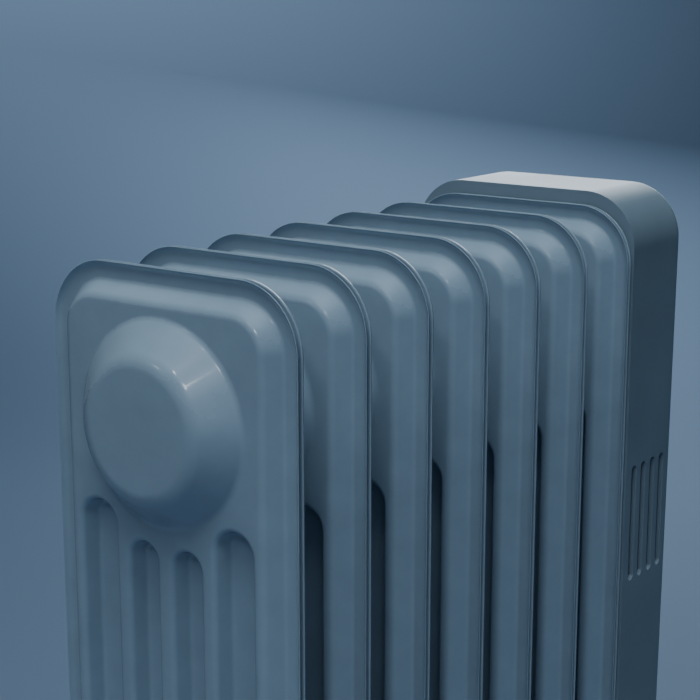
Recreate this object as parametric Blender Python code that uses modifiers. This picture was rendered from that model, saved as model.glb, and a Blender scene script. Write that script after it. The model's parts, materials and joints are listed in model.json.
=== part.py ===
"""Oil filled column radiator: seven pressed steel fins, an end control housing and castored feet.

X runs across the fins, Y along the stack towards the control housing, and Z up.
The origin is on the floor, at the centre of the whole object's box.
"""
import math

import bmesh
import bpy
from mathutils import Matrix

MM = 0.001

# Fits
GAP = 0.3 * MM                    # between two pieces that touch
RUNNING_GAP = 0.5 * MM            # around a piece that turns

# Fins
FIN_COUNT = 7
FIN_WIDTH = 135 * MM
FIN_HEIGHT = 580 * MM
FIN_PITCH = 45.5 * MM
FIN_CORNER_RADIUS = 29.3 * MM
SHEET = 0.9 * MM
LIP_WIDTH = 3 * MM                # the curled rim around the fin
LIP_RISE = 2 * MM
FLANGE_WIDTH = 5.5 * MM           # the flat welded margin inside the rim
STEP_WIDTH = 5 * MM               # the slope from the margin up to the panel
PANEL_RISE = 8.4 * MM
HUB_DROP = 64.4 * MM              # from the fin's top or bottom edge to a hub's centre
HUB_BASE_RADIUS = 44.6 * MM
HUB_FACE_RADIUS = 30.3 * MM
HUB_HOLE_RADIUS = 20 * MM
HUB_SIDES = 10
END_HUB_RISE = 24.3 * MM          # the closed end hubs stand this far from their fin's seam
OUTER_CHANNEL_OFFSET = 38.2 * MM
OUTER_CHANNEL_WIDTH = 21 * MM
OUTER_CHANNEL_DROP = 103.5 * MM   # from the fin's edge to the channel's rounded end
INNER_CHANNEL_OFFSET = 12.3 * MM
INNER_CHANNEL_WIDTH = 16.5 * MM
INNER_CHANNEL_DROP = 117.5 * MM
CHANNEL_SLOPE = 3 * MM            # width of a channel's sloping wall

# Feet and casters
WHEEL_RADIUS = 20 * MM
WHEEL_WIDTH = 15 * MM
WHEEL_BORE = 3.6 * MM
WHEEL_CHAMFER = 2 * MM
AXLE_RADIUS = 3 * MM
AXLE_PROUD = 1 * MM
PIN_FIT = 0.05 * MM
CASTER_TRAIL = 13 * MM
FORK_WALL = 2.5 * MM
FORK_BELOW_AXLE = 7 * MM
FORK_CORNER = 6 * MM
FORK_CROWN = 4 * MM
WHEEL_TO_CROWN = 4 * MM
FORK_SIDE_GAP = 1 * MM
STEM_RADIUS = 4 * MM
STEM_HEAD_RADIUS = 6.5 * MM
STEM_HEAD = 2.5 * MM
STEM_HEAD_TOP = 0.7                # share of the head's radius left at its domed top
FOOT_LENGTH = 252 * MM
FOOT_OVERHANG = 6.25 * MM         # how far a foot reaches past the two seams it carries
FOOT_HEIGHT = 12 * MM
FOOT_SHEET = 2 * MM
FOOT_CORNER_RADIUS = 16 * MM
CASTER_OFFSET = 103 * MM          # from the middle of a foot to a caster's stem
ROD_RADIUS = 3 * MM               # the clamp's bent rod
ROD_CLEARANCE = 0.56 * MM         # between the rod and the two hub cones it lies on
ROD_BELOW_FOOT = 10 * MM
NUT_RADIUS = 7 * MM
NUT_HEIGHT = 6 * MM
NUT_WING = 12 * MM
NUT_WING_SHEET = 2 * MM
NUT_TAPER = 0.8                    # the nut's lower radius, as a share of its upper one
WING_DROP = 4.5 * MM              # from the nut's top to the middle of its wings

# Control housing
HOUSING_GAP = 0.5 * MM            # from the last fin's rim to the housing's open edge
HOUSING_DEPTH = 57 * MM           # at its top
HOUSING_TAPER = 3 / 212           # depth lost for each unit of height down from the top
HOUSING_WIDTH = FIN_WIDTH
HOUSING_ABOVE_FIN = 6.5 * MM
HOUSING_ABOVE_FIN_BASE = 3 * MM
HOUSING_WALL = 2.5 * MM
HOUSING_TOP_RADIUS = 29 * MM
HOUSING_BASE_RADIUS = 18 * MM
HOUSING_EDGE_RADIUS = 7 * MM
BACK_PLATE = 1.5 * MM
PLATE_FIT = 1 * MM                # between the back plate's edge and the housing's wall
VENT_COUNT = 4
VENT_START = 10 * MM              # from the last fin's seam to the first slot
VENT_WIDTH = 5.5 * MM
VENT_PITCH = 10.5 * MM
VENT_LENGTH = 65 * MM
VENT_TOP_DROP = 140 * MM          # from the fin's top to the upper slots
VENT_BASE_RISE = 60 * MM          # from the housing's base to the lower slots

# Controls on the housing's front
PANEL_WIDTH = 92 * MM
PANEL_HEIGHT = 176 * MM
PANEL_THICKNESS = 2.5 * MM
PANEL_PROUD = 1.2 * MM
PANEL_RADIUS = 12 * MM
PANEL_DROP = 160 * MM             # from the housing's top to the control panel's centre
KNOB_RADIUS = 22 * MM
KNOB_DEPTH = 17 * MM
KNOB_GRIP_WIDTH = 9 * MM
KNOB_GRIP_DEPTH = 7 * MM
KNOB_GRIP_RADIUS = 2 * MM
KNOB_GRIP_INSET = 3 * MM          # from the skirt's edge to the end of the grip bar
KNOB_CHAMFER = 3 * MM
KNOB_CHAMFER_DEPTH = 2 * MM
GRIP_SINK = 2 * MM                # how far the bar reaches into the skirt
KNOB_RISE = 46 * MM               # from the control panel's centre up to the knob
SHAFT_RADIUS = 3 * MM
SHAFT_SEAT = 3 * MM               # wall left beyond each end of the shaft
SWITCH_OFFSET = 18 * MM
SWITCH_DROP = 20 * MM
SWITCH_WIDTH = 15 * MM
SWITCH_HEIGHT = 24 * MM
SWITCH_DEPTH = 16 * MM
SWITCH_RIM = 1.6 * MM
SWITCH_RIM_DEPTH = 1 * MM
POCKET_DEPTH = 9 * MM
ROCKER_SIDE_DEPTH = 1 * MM        # from the rocker's axis back to its two ends
ROCKER_KEEL_DEPTH = 3 * MM
ROCKER_PROUD = 2.6 * MM
ROCKER_TRAVEL = math.radians(14)
ROCKER_HINGE_DEPTH = 2 * MM       # the rocker's axis lies this far behind the switch's rim
LAMP_DROP = 62 * MM
LAMP_RADIUS = 4 * MM
LAMP_DEPTH = 9 * MM
LAMP_RISE = 2 * MM
LAMP_SHOULDER = 2.8 * MM          # radius where the lens turns down
LAMP_SHOULDER_RISE = 1.6 * MM
THERMOSTAT_SIZE = 36 * MM
THERMOSTAT_DEPTH = 14 * MM
THERMOSTAT_CORNER = 3 * MM
GRIP_WIDTH = 84 * MM
GRIP_HEIGHT = 26 * MM
GRIP_DEPTH = 24 * MM
GRIP_WALL = 2 * MM
GRIP_RADIUS = 9 * MM
GRIP_DROP = 38 * MM               # from the housing's top to the hand grip's centre

# Electrical and oil fittings
GASKET = 1.5 * MM
GASKET_RADIUS = 26 * MM
FLANGE_RADIUS = 26 * MM
FLANGE_DEPTH = 7 * MM
ELEMENT_RADIUS = 4 * MM
ELEMENT_SPREAD = 9.5 * MM         # half the distance between an element's two legs
ELEMENT_BACK_OFF = 22 * MM        # the second element's bend stops this much earlier
TERMINAL_PROUD = 5 * MM
PLUG_RADIUS = 24 * MM
PLUG_DEPTH = 3 * MM
PLUG_NUT_RADIUS = 8 * MM
PLUG_NUT_DEPTH = 5 * MM
GLAND_RADIUS = 8 * MM
GLAND_BORE = 4 * MM
GLAND_LIP = 3 * MM
GLAND_STEP = 2 * MM
GLAND_INSIDE = 1 * MM             # how far the bush stands inside the wall
CUTOUT_RADIUS = 11 * MM
CUTOUT_BASE = 2 * MM
CUTOUT_CAP_RADIUS = 7 * MM
CUTOUT_DEPTH = 8 * MM
TERMINAL_PITCH = 12 * MM
CUTOUT_RISE = 60 * MM             # from the lower hub to the thermal cut-out
BLOCK_RISE = 145 * MM
BLOCK_SIZE = (40 * MM, 12 * MM, 18 * MM)
TIP_RISE = 100 * MM
TIP_SIZE = (40 * MM, 16 * MM, 36 * MM)
TIP_WALL = 2 * MM
PENDULUM_LENGTH = 24 * MM
BOB_RADIUS = 5 * MM
BOB_SLOPE = 2 * MM
BOB_CHAMFER = 1 * MM
PENDULUM_ARM = 2 * MM
ARM_ABOVE_PIVOT = 2 * MM
LEAD_RADIUS = 1.6 * MM
LEAD_STEPS = 10
LEAD_EASE = (0.4, 0.9)            # shares of the rise where the lead starts and ends its way forward
SCREW_RADIUS = 1.7 * MM
SCREW_HEAD_RADIUS = 4 * MM
SCREW_HEAD = 2.2 * MM
SCREW_CROWN_RADIUS = 2.4 * MM     # flat top of the domed head
SCREW_HEAD_EDGE = 1 * MM
SCREW_OFFSET = 44 * MM
SCREW_RISE = 34 * MM              # from the housing's base up to its two screws

# Places worked out from the sizes above
LAST_SEAM = (FIN_COUNT - 1) * FIN_PITCH
HUB_FACE = (FIN_PITCH - GAP) / 2
FOOT_WIDTH = FIN_PITCH + 2 * FOOT_OVERHANG
LIP_LEAN = SHEET * LIP_RISE / math.hypot(LIP_RISE, LIP_WIDTH)
FLANGE_LEVEL = GAP / 2 + SHEET
CONE_RUN = HUB_BASE_RADIUS - HUB_FACE_RADIUS
CONE_RISE = HUB_FACE - FLANGE_LEVEL - PANEL_RISE
CONE_SLOPE = math.hypot(CONE_RUN, CONE_RISE)
ROD_REACH = ((ROD_RADIUS + ROD_CLEARANCE) * CONE_SLOPE - CONE_RUN * GAP / 2) / CONE_RISE
ROD_SEAT = HUB_FACE_RADIUS + ROD_REACH    # from the hub's centre to the clamp rod's centre
CROWN_UNDERSIDE = 2 * WHEEL_RADIUS + WHEEL_TO_CROWN
CROWN_TOP = CROWN_UNDERSIDE + FORK_CROWN
FOOT_TOP = CROWN_TOP + RUNNING_GAP + FOOT_HEIGHT
FIN_BASE = FOOT_TOP + GAP
FIN_TOP = FIN_BASE + FIN_HEIGHT
LOWER_HUB_Z = FIN_BASE + HUB_DROP
UPPER_HUB_Z = FIN_TOP - HUB_DROP
FOOT_PLACES = (FIN_PITCH / 2, LAST_SEAM - FIN_PITCH / 2)
HOUSING_TOP = FIN_TOP + HOUSING_ABOVE_FIN
HOUSING_BASE = FIN_BASE + HOUSING_ABOVE_FIN_BASE
HOUSING_BACK = LAST_SEAM + FLANGE_LEVEL + LIP_RISE + HOUSING_GAP
PLATE_BACK = LAST_SEAM + HUB_FACE + GAP
PLATE_FRONT = PLATE_BACK + BACK_PLATE
TILT = math.atan(HOUSING_TAPER)
KNOB_BACK = PANEL_PROUD + RUNNING_GAP
CHANNELS = ((OUTER_CHANNEL_OFFSET, OUTER_CHANNEL_WIDTH, OUTER_CHANNEL_DROP),
            (INNER_CHANNEL_OFFSET, INNER_CHANNEL_WIDTH, INNER_CHANNEL_DROP))
KNOB_Z = HOUSING_TOP - PANEL_DROP + KNOB_RISE


def front_y(z):
    """Depth position of the housing's outer front face at height z."""
    return HOUSING_BACK + HOUSING_DEPTH - (HOUSING_TOP - z) * HOUSING_TAPER


KNOB_REACH = (KNOB_BACK + KNOB_DEPTH) * math.cos(TILT) + KNOB_RADIUS * math.sin(TILT)
STACK_CENTRE = (front_y(KNOB_Z) + KNOB_REACH - END_HUB_RISE) / 2


# Scene, collections and materials

def clear_scene():
    for item in list(bpy.data.objects):
        bpy.data.objects.remove(item, do_unlink=True)


def new_collection(name):
    collection = bpy.data.collections.new(name)
    bpy.context.scene.collection.children.link(collection)
    return collection


def material(name, colour, roughness, metallic=0.0):
    made = bpy.data.materials.new(name)
    made.use_nodes = True
    shader = made.node_tree.nodes["Principled BSDF"]
    shader.inputs["Base Color"].default_value = (*colour, 1.0)
    shader.inputs["Roughness"].default_value = roughness
    shader.inputs["Metallic"].default_value = metallic
    made.diffuse_color = (*colour, 1.0)
    return made


clear_scene()
PIECES = new_collection("oil_filled_radiator")
CUTTERS = new_collection("cutters")
ENAMEL = material("fin_enamel", (0.10, 0.16, 0.21), 0.22)
MOULDING = material("housing_moulding", (0.07, 0.11, 0.15), 0.38)
TRIM = material("control_moulding", (0.03, 0.04, 0.05), 0.42)
PLATED = material("zinc_plated_steel", (0.62, 0.63, 0.64), 0.35, 1.0)
FOOT_ENAMEL = material("foot_enamel", (0.06, 0.09, 0.12), 0.35)
TYRE = material("caster_nylon", (0.025, 0.027, 0.03), 0.5)
BRASS = material("brass", (0.66, 0.48, 0.20), 0.3, 1.0)
RUBBER = material("rubber", (0.02, 0.02, 0.02), 0.7)
SHEATH = material("element_sheath", (0.45, 0.42, 0.38), 0.4, 1.0)
LENS = material("lamp_lens", (0.75, 0.16, 0.05), 0.12)
PHENOLIC = material("phenolic_moulding", (0.05, 0.045, 0.04), 0.5)

STACK_ROOT = bpy.data.objects.new("stack_root", None)
STACK_ROOT.location = (0, -STACK_CENTRE, 0)
PIECES.objects.link(STACK_ROOT)


# Building blocks

def add_object(name, mesh, skin=None, parent=STACK_ROOT, location=(0, 0, 0), rotation=(0, 0, 0)):
    """A piece when it has a skin, or else a hidden cutter."""
    made = bpy.data.objects.new(name, mesh)
    made.parent = parent
    made.location = location
    made.rotation_euler = rotation
    if skin is None:
        CUTTERS.objects.link(made)
        made.hide_render = True
        made.display_type = "WIRE"
        return made
    PIECES.objects.link(made)
    if not mesh.materials:
        mesh.materials.append(skin)
    return made


def add_frame(name, location, rotation=(0, 0, 0)):
    """An empty that carries pieces placed in their own axes."""
    made = bpy.data.objects.new(name, None)
    made.parent = STACK_ROOT
    made.location = location
    made.rotation_euler = rotation
    PIECES.objects.link(made)
    return made


def mesh_from(name, bm, smooth=False):
    mesh = bpy.data.meshes.new(name)
    bm.to_mesh(mesh)
    bm.free()
    if smooth:
        mesh.shade_smooth()
        mesh.set_sharp_from_angle(angle=math.radians(40))
    return mesh


def modifier(target, kind, **settings):
    made = target.modifiers.new(kind.lower(), kind)
    for key, value in settings.items():
        setattr(made, key, value)
    return made


def join(target, *others):
    for other in others:
        modifier(target, "BOOLEAN", operation="UNION", object=other, solver="EXACT")


def cut(target, *cutters):
    for cutter in cutters:
        modifier(target, "BOOLEAN", operation="DIFFERENCE", object=cutter, solver="EXACT")


def box_mesh(name, size, centre=(0, 0, 0), radius=0.0, axis=1, steps=3):
    """A box, with its four edges along one axis rounded when there is a radius."""
    bm = bmesh.new()
    bmesh.ops.create_cube(bm, size=1, matrix=Matrix.Translation(centre) @ Matrix.Diagonal((*size, 1)))
    if radius:
        along = [edge for edge in bm.edges
                 if abs((edge.verts[0].co - edge.verts[1].co)[axis]) > size[axis] / 2]
        round_edges(bm, along, radius, steps)
    return mesh_from(name, bm)


def round_edges(bm, edges, radius, steps):
    bmesh.ops.bevel(bm, geom=edges, offset=radius, offset_type="OFFSET", segments=steps, profile=0.5,
                    affect="EDGES")


def rod_mesh(name, radius, depth, centre=(0, 0, 0), axis="Z", sides=16, end_radius=None):
    """A cylinder or cone along an axis, its second radius at the axis's positive end."""
    bm = bmesh.new()
    bmesh.ops.create_cone(bm, cap_ends=True, segments=sides, radius1=radius,
                          radius2=radius if end_radius is None else end_radius, depth=depth,
                          matrix=Matrix.Translation(centre) @ AXIS_TURN[axis])
    return mesh_from(name, bm, smooth=True)


AXIS_TURN = {"X": Matrix.Rotation(math.pi / 2, 4, "Y"), "Y": Matrix.Rotation(-math.pi / 2, 4, "X"),
             "Z": Matrix.Identity(4)}


def turned(name, profile, sides, skin, location=(0, 0, 0), axis="Z", parent=STACK_ROOT):
    """A turned piece from its profile of radii and heights, listed from the top down its outer side.

    A profile that starts on the axis ends on it too; any other one closes into a ring.
    """
    bm = bmesh.new()
    points = [bm.verts.new((radius, 0, height)) for radius, height in profile]
    for first, second in zip(points, points[1:]):
        bm.edges.new((first, second))
    if profile[0][0] > 0:
        bm.edges.new((points[-1], points[0]))
    made = add_object(name, mesh_from(name, bm), skin, parent, location, AXIS_TURN[axis].to_euler())
    modifier(made, "SCREW", steps=sides, render_steps=sides, use_merge_vertices=True, merge_threshold=0.00001,
             use_smooth_shade=True)
    return made


def bent_rod(name, points, radius, skin, resolution):
    """A bent rod: a poly curve with a round bevel and filled caps, made into a welded mesh."""
    curve = bpy.data.curves.new(name + "_path", "CURVE")
    curve.dimensions = "3D"
    curve.bevel_depth = radius
    curve.bevel_resolution = resolution
    curve.use_fill_caps = True
    line = curve.splines.new("POLY")
    line.points.add(len(points) - 1)
    for point, place in zip(line.points, points):
        point.co = (*place, 1)
    path = bpy.data.objects.new(name + "_path", curve)
    PIECES.objects.link(path)
    bpy.context.view_layer.update()
    shape = bpy.data.meshes.new_from_object(path.evaluated_get(bpy.context.evaluated_depsgraph_get()))
    bpy.data.objects.remove(path, do_unlink=True)
    bm = bmesh.new()
    bm.from_mesh(shape)
    bmesh.ops.remove_doubles(bm, verts=bm.verts, dist=0.00001)
    bmesh.ops.recalc_face_normals(bm, faces=bm.faces)
    return add_object(name, mesh_from(name, bm, smooth=True), skin)


# Fins

def fin_outline(inset):
    """A rounded rectangle in X and Z, as far inside the fin's edge as the inset."""
    radius = FIN_CORNER_RADIUS - inset
    x = FIN_WIDTH / 2 - FIN_CORNER_RADIUS
    corners = ((x, FIN_CORNER_RADIUS, -90), (x, FIN_HEIGHT - FIN_CORNER_RADIUS, 0),
               (-x, FIN_HEIGHT - FIN_CORNER_RADIUS, 90), (-x, FIN_CORNER_RADIUS, 180))
    return [point for x, z, start in corners for point in arc(x, z, radius, start, start + 90, 3)]


def arc(x, z, radius, start, end, steps):
    angles = [math.radians(start + (end - start) * i / steps) for i in range(steps + 1)]
    return [(x + radius * math.cos(angle), z + radius * math.sin(angle)) for angle in angles]


def channel_outline(x, width, drop, inset):
    """A long slot with round ends, narrowed on all sides by the inset."""
    radius = width / 2 - inset
    return (arc(x, FIN_HEIGHT - drop - width / 2, radius, 0, 180, 3)
            + arc(x, drop + width / 2, radius, 180, 360, 3))


def hub_outline(z, radius):
    return arc(0, z, radius, 0, 360, HUB_SIDES)[:-1]


def level_ring(bm, outline, rise):
    """A ring of points at one distance from the fin's seam, on its -Y side."""
    return [bm.verts.new((x, -rise, z)) for x, z in outline]


def bridge(bm, *rings):
    """Walls between each ring and the next."""
    for first, second in zip(rings, rings[1:]):
        for i in range(len(first)):
            bm.faces.new((first[i - 1], first[i], second[i], second[i - 1]))


def ring_edges(bm, ring):
    return [bm.edges.get((ring[i - 1], ring[i])) for i in range(len(ring))]


def fin_half_mesh(name, hub_rise, open_hubs):
    """The outer skin of one pressed half: rim, margin, step, panel, channels and two hubs."""
    panel_level = FLANGE_LEVEL + PANEL_RISE
    margin_end = LIP_WIDTH + FLANGE_WIDTH
    panel_start = margin_end + STEP_WIDTH
    bm = bmesh.new()
    levels = ((LIP_LEAN, FLANGE_LEVEL + LIP_RISE), (LIP_WIDTH, FLANGE_LEVEL), (margin_end, FLANGE_LEVEL),
              (panel_start, panel_level))
    margin = [level_ring(bm, fin_outline(inset), rise) for inset, rise in levels]
    bridge(bm, *margin)
    panel_edges = ring_edges(bm, margin[-1])
    for offset, width, drop in CHANNELS:
        for x in (-offset, offset):
            rim = level_ring(bm, channel_outline(x, width, drop, 0), panel_level)
            floor = level_ring(bm, channel_outline(x, width, drop, CHANNEL_SLOPE), FLANGE_LEVEL)
            bridge(bm, rim, floor)
            bm.faces.new(floor)
            panel_edges += ring_edges(bm, rim)
    for z in (HUB_DROP, FIN_HEIGHT - HUB_DROP):
        base = level_ring(bm, hub_outline(z, HUB_BASE_RADIUS), panel_level)
        face = level_ring(bm, hub_outline(z, HUB_FACE_RADIUS), hub_rise)
        bridge(bm, base, face)
        if open_hubs:
            bridge(bm, face, level_ring(bm, hub_outline(z, HUB_HOLE_RADIUS), hub_rise))
        else:
            bm.faces.new(face)
        panel_edges += ring_edges(bm, base)
    bmesh.ops.triangle_fill(bm, use_beauty=True, use_dissolve=False, edges=panel_edges)
    bmesh.ops.recalc_face_normals(bm, faces=bm.faces)
    if max(bm.faces, key=lambda face: face.calc_area()).normal.y > 0:
        bmesh.ops.reverse_faces(bm, faces=bm.faces)
    return mesh_from(name, bm)


def make_fins():
    end_half = fin_half_mesh("closed_fin_half", END_HUB_RISE, False)
    open_half = fin_half_mesh("open_fin_half", HUB_FACE, True)
    for number in range(1, FIN_COUNT + 1):
        seam = (0, (number - 1) * FIN_PITCH, FIN_BASE)
        front_mesh = end_half if number == 1 else open_half
        front = add_object(f"fin_{number}_front_half", front_mesh, ENAMEL, location=seam)
        rear = add_object(f"fin_{number}_rear_half", open_half, ENAMEL, location=seam,
                          rotation=(0, 0, math.pi))
        for half in (front, rear):
            modifier(half, "SOLIDIFY", thickness=SHEET, offset=-1, use_even_offset=True)


# Feet, clamps and casters

def foot_mesh(name):
    """The outer skin of a pressed channel with rounded ends, open underneath."""
    bm = bmesh.new()
    bmesh.ops.create_cube(bm, size=1, matrix=Matrix.Translation((0, 0, -FOOT_HEIGHT / 2))
                          @ Matrix.Diagonal((FOOT_LENGTH, FOOT_WIDTH, FOOT_HEIGHT, 1)))
    uprights = [edge for edge in bm.edges if abs(edge.verts[0].co.z - edge.verts[1].co.z) > FOOT_HEIGHT / 2]
    round_edges(bm, uprights, FOOT_CORNER_RADIUS, 3)
    underside = min(bm.faces, key=lambda face: face.calc_center_median().z)
    bmesh.ops.delete(bm, geom=[underside], context="FACES_ONLY")
    return mesh_from(name, bm)


def make_foot(end, y):
    """One foot bar, the rod that clamps it to a hub, and its two wing nuts."""
    foot = add_object(end + "_foot_bar", foot_mesh(end + "_foot_bar"), FOOT_ENAMEL, location=(0, y, FOOT_TOP))
    modifier(foot, "SOLIDIFY", thickness=FOOT_SHEET, offset=-1, use_even_offset=True)
    holes = ((ROD_SEAT, ROD_RADIUS + GAP), (CASTER_OFFSET, STEM_RADIUS + RUNNING_GAP))
    for offset, radius in holes:
        for x in (-offset, offset):
            cut(foot, add_object("foot_hole", rod_mesh("foot_hole", radius, 3 * FOOT_SHEET, sides=12),
                                 location=(x, y, FOOT_TOP)))
    rod_end = FOOT_TOP - FOOT_SHEET - ROD_BELOW_FOOT
    bend = [(x, y, z) for x, z in arc(0, LOWER_HUB_Z, ROD_SEAT, 0, 180, 8)]
    route = [(ROD_SEAT, y, rod_end), *bend, (-ROD_SEAT, y, rod_end)]
    bent_rod(end + "_clamp_rod", route, ROD_RADIUS, PLATED, 2)
    for side, x in (("left", -ROD_SEAT), ("right", ROD_SEAT)):
        make_wing_nut(f"{end}_wing_nut_{side}", (x, y, FOOT_TOP - FOOT_SHEET - GAP))


def make_wing_nut(name, top):
    """A tapered nut with two wings, its upper face at the given point."""
    body = rod_mesh(name, NUT_RADIUS * NUT_TAPER, NUT_HEIGHT, (0, 0, -NUT_HEIGHT / 2), sides=12,
                    end_radius=NUT_RADIUS)
    nut = add_object(name, body, PLATED, location=top)
    wings = box_mesh("wings", (2 * NUT_WING, NUT_WING_SHEET, NUT_HEIGHT), (0, 0, -WING_DROP))
    bore = rod_mesh("nut_bore", ROD_RADIUS + GAP, 4 * NUT_HEIGHT, sides=12)
    join(nut, add_object("wings", wings, location=top))
    cut(nut, add_object("nut_bore", bore, location=top))


def make_caster(number, x, y):
    """A swivelling fork with its stem, an axle pin and a wheel that trails towards +Y."""
    swivel = add_frame(f"caster_{number}_swivel", (x, y, 0))
    axle_place = (0, CASTER_TRAIL, WHEEL_RADIUS)
    inside = WHEEL_WIDTH / 2 + FORK_SIDE_GAP
    outside = inside + FORK_WALL
    fork_base = WHEEL_RADIUS - FORK_BELOW_AXLE
    size = (2 * outside, CASTER_TRAIL + 2 * outside, CROWN_TOP - fork_base)
    fork_mesh = box_mesh("fork", size, (0, CASTER_TRAIL / 2, (CROWN_TOP + fork_base) / 2), FORK_CORNER, 0)
    fork = add_object(f"caster_{number}_fork", fork_mesh, TYRE, parent=swivel)
    slot = box_mesh("fork_slot", (2 * inside, 4 * size[1], CROWN_UNDERSIDE), (0, 0, CROWN_UNDERSIDE / 2))
    stem_top = FOOT_TOP + GAP
    stem_length = stem_top + STEM_HEAD / 2 - CROWN_TOP + FORK_CROWN / 2
    stem_middle = stem_top + (STEM_HEAD - stem_length) / 2
    stem = rod_mesh("stem", STEM_RADIUS, stem_length, (0, 0, stem_middle), sides=12)
    head = rod_mesh("stem_head", STEM_HEAD_RADIUS, STEM_HEAD, (0, 0, stem_top + STEM_HEAD / 2), sides=12,
                    end_radius=STEM_HEAD_RADIUS * STEM_HEAD_TOP)
    pin_hole = rod_mesh("pin_hole", AXLE_RADIUS + PIN_FIT, 4 * outside, axle_place, "X", 12)
    cut(fork, add_object("fork_slot", slot, parent=swivel))
    join(fork, add_object("stem", stem, parent=swivel), add_object("stem_head", head, parent=swivel))
    cut(fork, add_object("pin_hole", pin_hole, parent=swivel))
    axle = rod_mesh("axle", AXLE_RADIUS, 2 * outside + AXLE_PROUD, axis="X", sides=12)
    add_object(f"caster_{number}_axle", axle, PLATED, parent=swivel, location=axle_place)
    half = WHEEL_WIDTH / 2
    shoulder = WHEEL_RADIUS - WHEEL_CHAMFER
    profile = ((WHEEL_BORE, half), (shoulder, half), (WHEEL_RADIUS, half - WHEEL_CHAMFER),
               (WHEEL_RADIUS, WHEEL_CHAMFER - half), (shoulder, -half), (WHEEL_BORE, -half))
    turned(f"caster_{number}_wheel", profile, 18, TYRE, axle_place, "X", swivel)


def make_feet():
    for end, y in zip(("front", "rear"), FOOT_PLACES):
        make_foot(end, y)
    places = [(x, y) for y in FOOT_PLACES for x in (-CASTER_OFFSET, CASTER_OFFSET)]
    for number, (x, y) in enumerate(places, 1):
        make_caster(number, x, y)


# Housing

def leaning_box(width, low, high, back):
    """A box with rounded corners whose front leans with the housing's taper."""
    middle = (low + high) / 2
    bm = bmesh.new()
    bmesh.ops.create_cube(bm, size=1, matrix=Matrix.Translation((0, 0, middle))
                          @ Matrix.Diagonal((width, 1, high - low, 1)))
    for vert in bm.verts:
        vert.co.y = back if vert.co.y < 0 else front_y(vert.co.z)
    for side, radius, steps in ((1, HOUSING_TOP_RADIUS, 4), (-1, HOUSING_BASE_RADIUS, 3)):
        corners = [edge for edge in bm.edges
                   if abs(edge.verts[0].co.y - edge.verts[1].co.y) > HOUSING_DEPTH / 2
                   and side * (edge.verts[0].co.z - middle) > 0]
        round_edges(bm, corners, radius, steps)
    return bm


def make_housing():
    """The moulded cover: an open-backed box with a rounded front edge and side vents."""
    bm = leaning_box(HOUSING_WIDTH, HOUSING_BASE, HOUSING_TOP, HOUSING_BACK)
    front = max(bm.faces, key=lambda face: face.calc_center_median().y)
    round_edges(bm, list(front.edges), HOUSING_EDGE_RADIUS, 2)
    back = min(bm.faces, key=lambda face: face.calc_center_median().y)
    bmesh.ops.delete(bm, geom=[back], context="FACES_ONLY")
    shell = add_object("housing_shell", mesh_from("housing_shell", bm), MOULDING)
    modifier(shell, "SOLIDIFY", thickness=HOUSING_WALL, offset=-1, use_even_offset=True)
    for low in (FIN_TOP - VENT_TOP_DROP - VENT_LENGTH, HOUSING_BASE + VENT_BASE_RISE):
        for i in range(VENT_COUNT):
            y = LAST_SEAM + VENT_START + VENT_WIDTH / 2 + i * VENT_PITCH
            slot = box_mesh("vent_slot", (2 * HOUSING_WIDTH, VENT_WIDTH, VENT_LENGTH))
            cut(shell, add_object("vent_slot", slot, location=(0, y, low + VENT_LENGTH / 2)))
    return shell


def make_back_plate():
    """The steel plate behind the controls, seated on the last fin's hubs."""
    inset = HOUSING_WALL + PLATE_FIT
    size = (HOUSING_WIDTH - 2 * inset, BACK_PLATE, HOUSING_TOP - HOUSING_BASE - 2 * inset)
    middle = (HOUSING_TOP + HOUSING_BASE) / 2
    outline = box_mesh("housing_back_plate", size, radius=HOUSING_TOP_RADIUS - inset, steps=4)
    plate = add_object("housing_back_plate", outline, PLATED,
                       location=(0, PLATE_BACK + BACK_PLATE / 2, middle))
    for radius, z in ((FLANGE_RADIUS + RUNNING_GAP, LOWER_HUB_Z), (PLUG_RADIUS + RUNNING_GAP, UPPER_HUB_Z)):
        hole = rod_mesh("plate_hole", radius, 6 * BACK_PLATE, axis="Y", sides=20)
        cut(plate, add_object("plate_hole", hole, location=(0, PLATE_BACK, z)))
    return plate


def face_frame(name, z):
    """A frame on the housing's leaning front at height z, its Y pointing straight out."""
    return add_frame(name, (0, front_y(z), z), (-TILT, 0, 0))


def make_front(shell):
    """The control panel with its controls, and the hand grip, set in openings in the front."""
    face = face_frame("control_face", HOUSING_TOP - PANEL_DROP)
    opening = box_mesh("panel_opening", (PANEL_WIDTH, 6 * HOUSING_WALL, PANEL_HEIGHT), radius=PANEL_RADIUS)
    cut(shell, add_object("panel_opening", opening, parent=face))
    plate = box_mesh("control_panel", (PANEL_WIDTH - 2 * GAP, PANEL_THICKNESS, PANEL_HEIGHT - 2 * GAP),
                     (0, PANEL_PROUD - PANEL_THICKNESS / 2, 0), PANEL_RADIUS - GAP)
    panel = add_object("control_panel", plate, TRIM, parent=face)
    make_thermostat(face, panel)
    make_switch(face, panel, "power_switch", -SWITCH_OFFSET)
    make_switch(face, panel, "heat_switch", SWITCH_OFFSET)
    make_lamp(face, panel)
    make_grip(shell)


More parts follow.
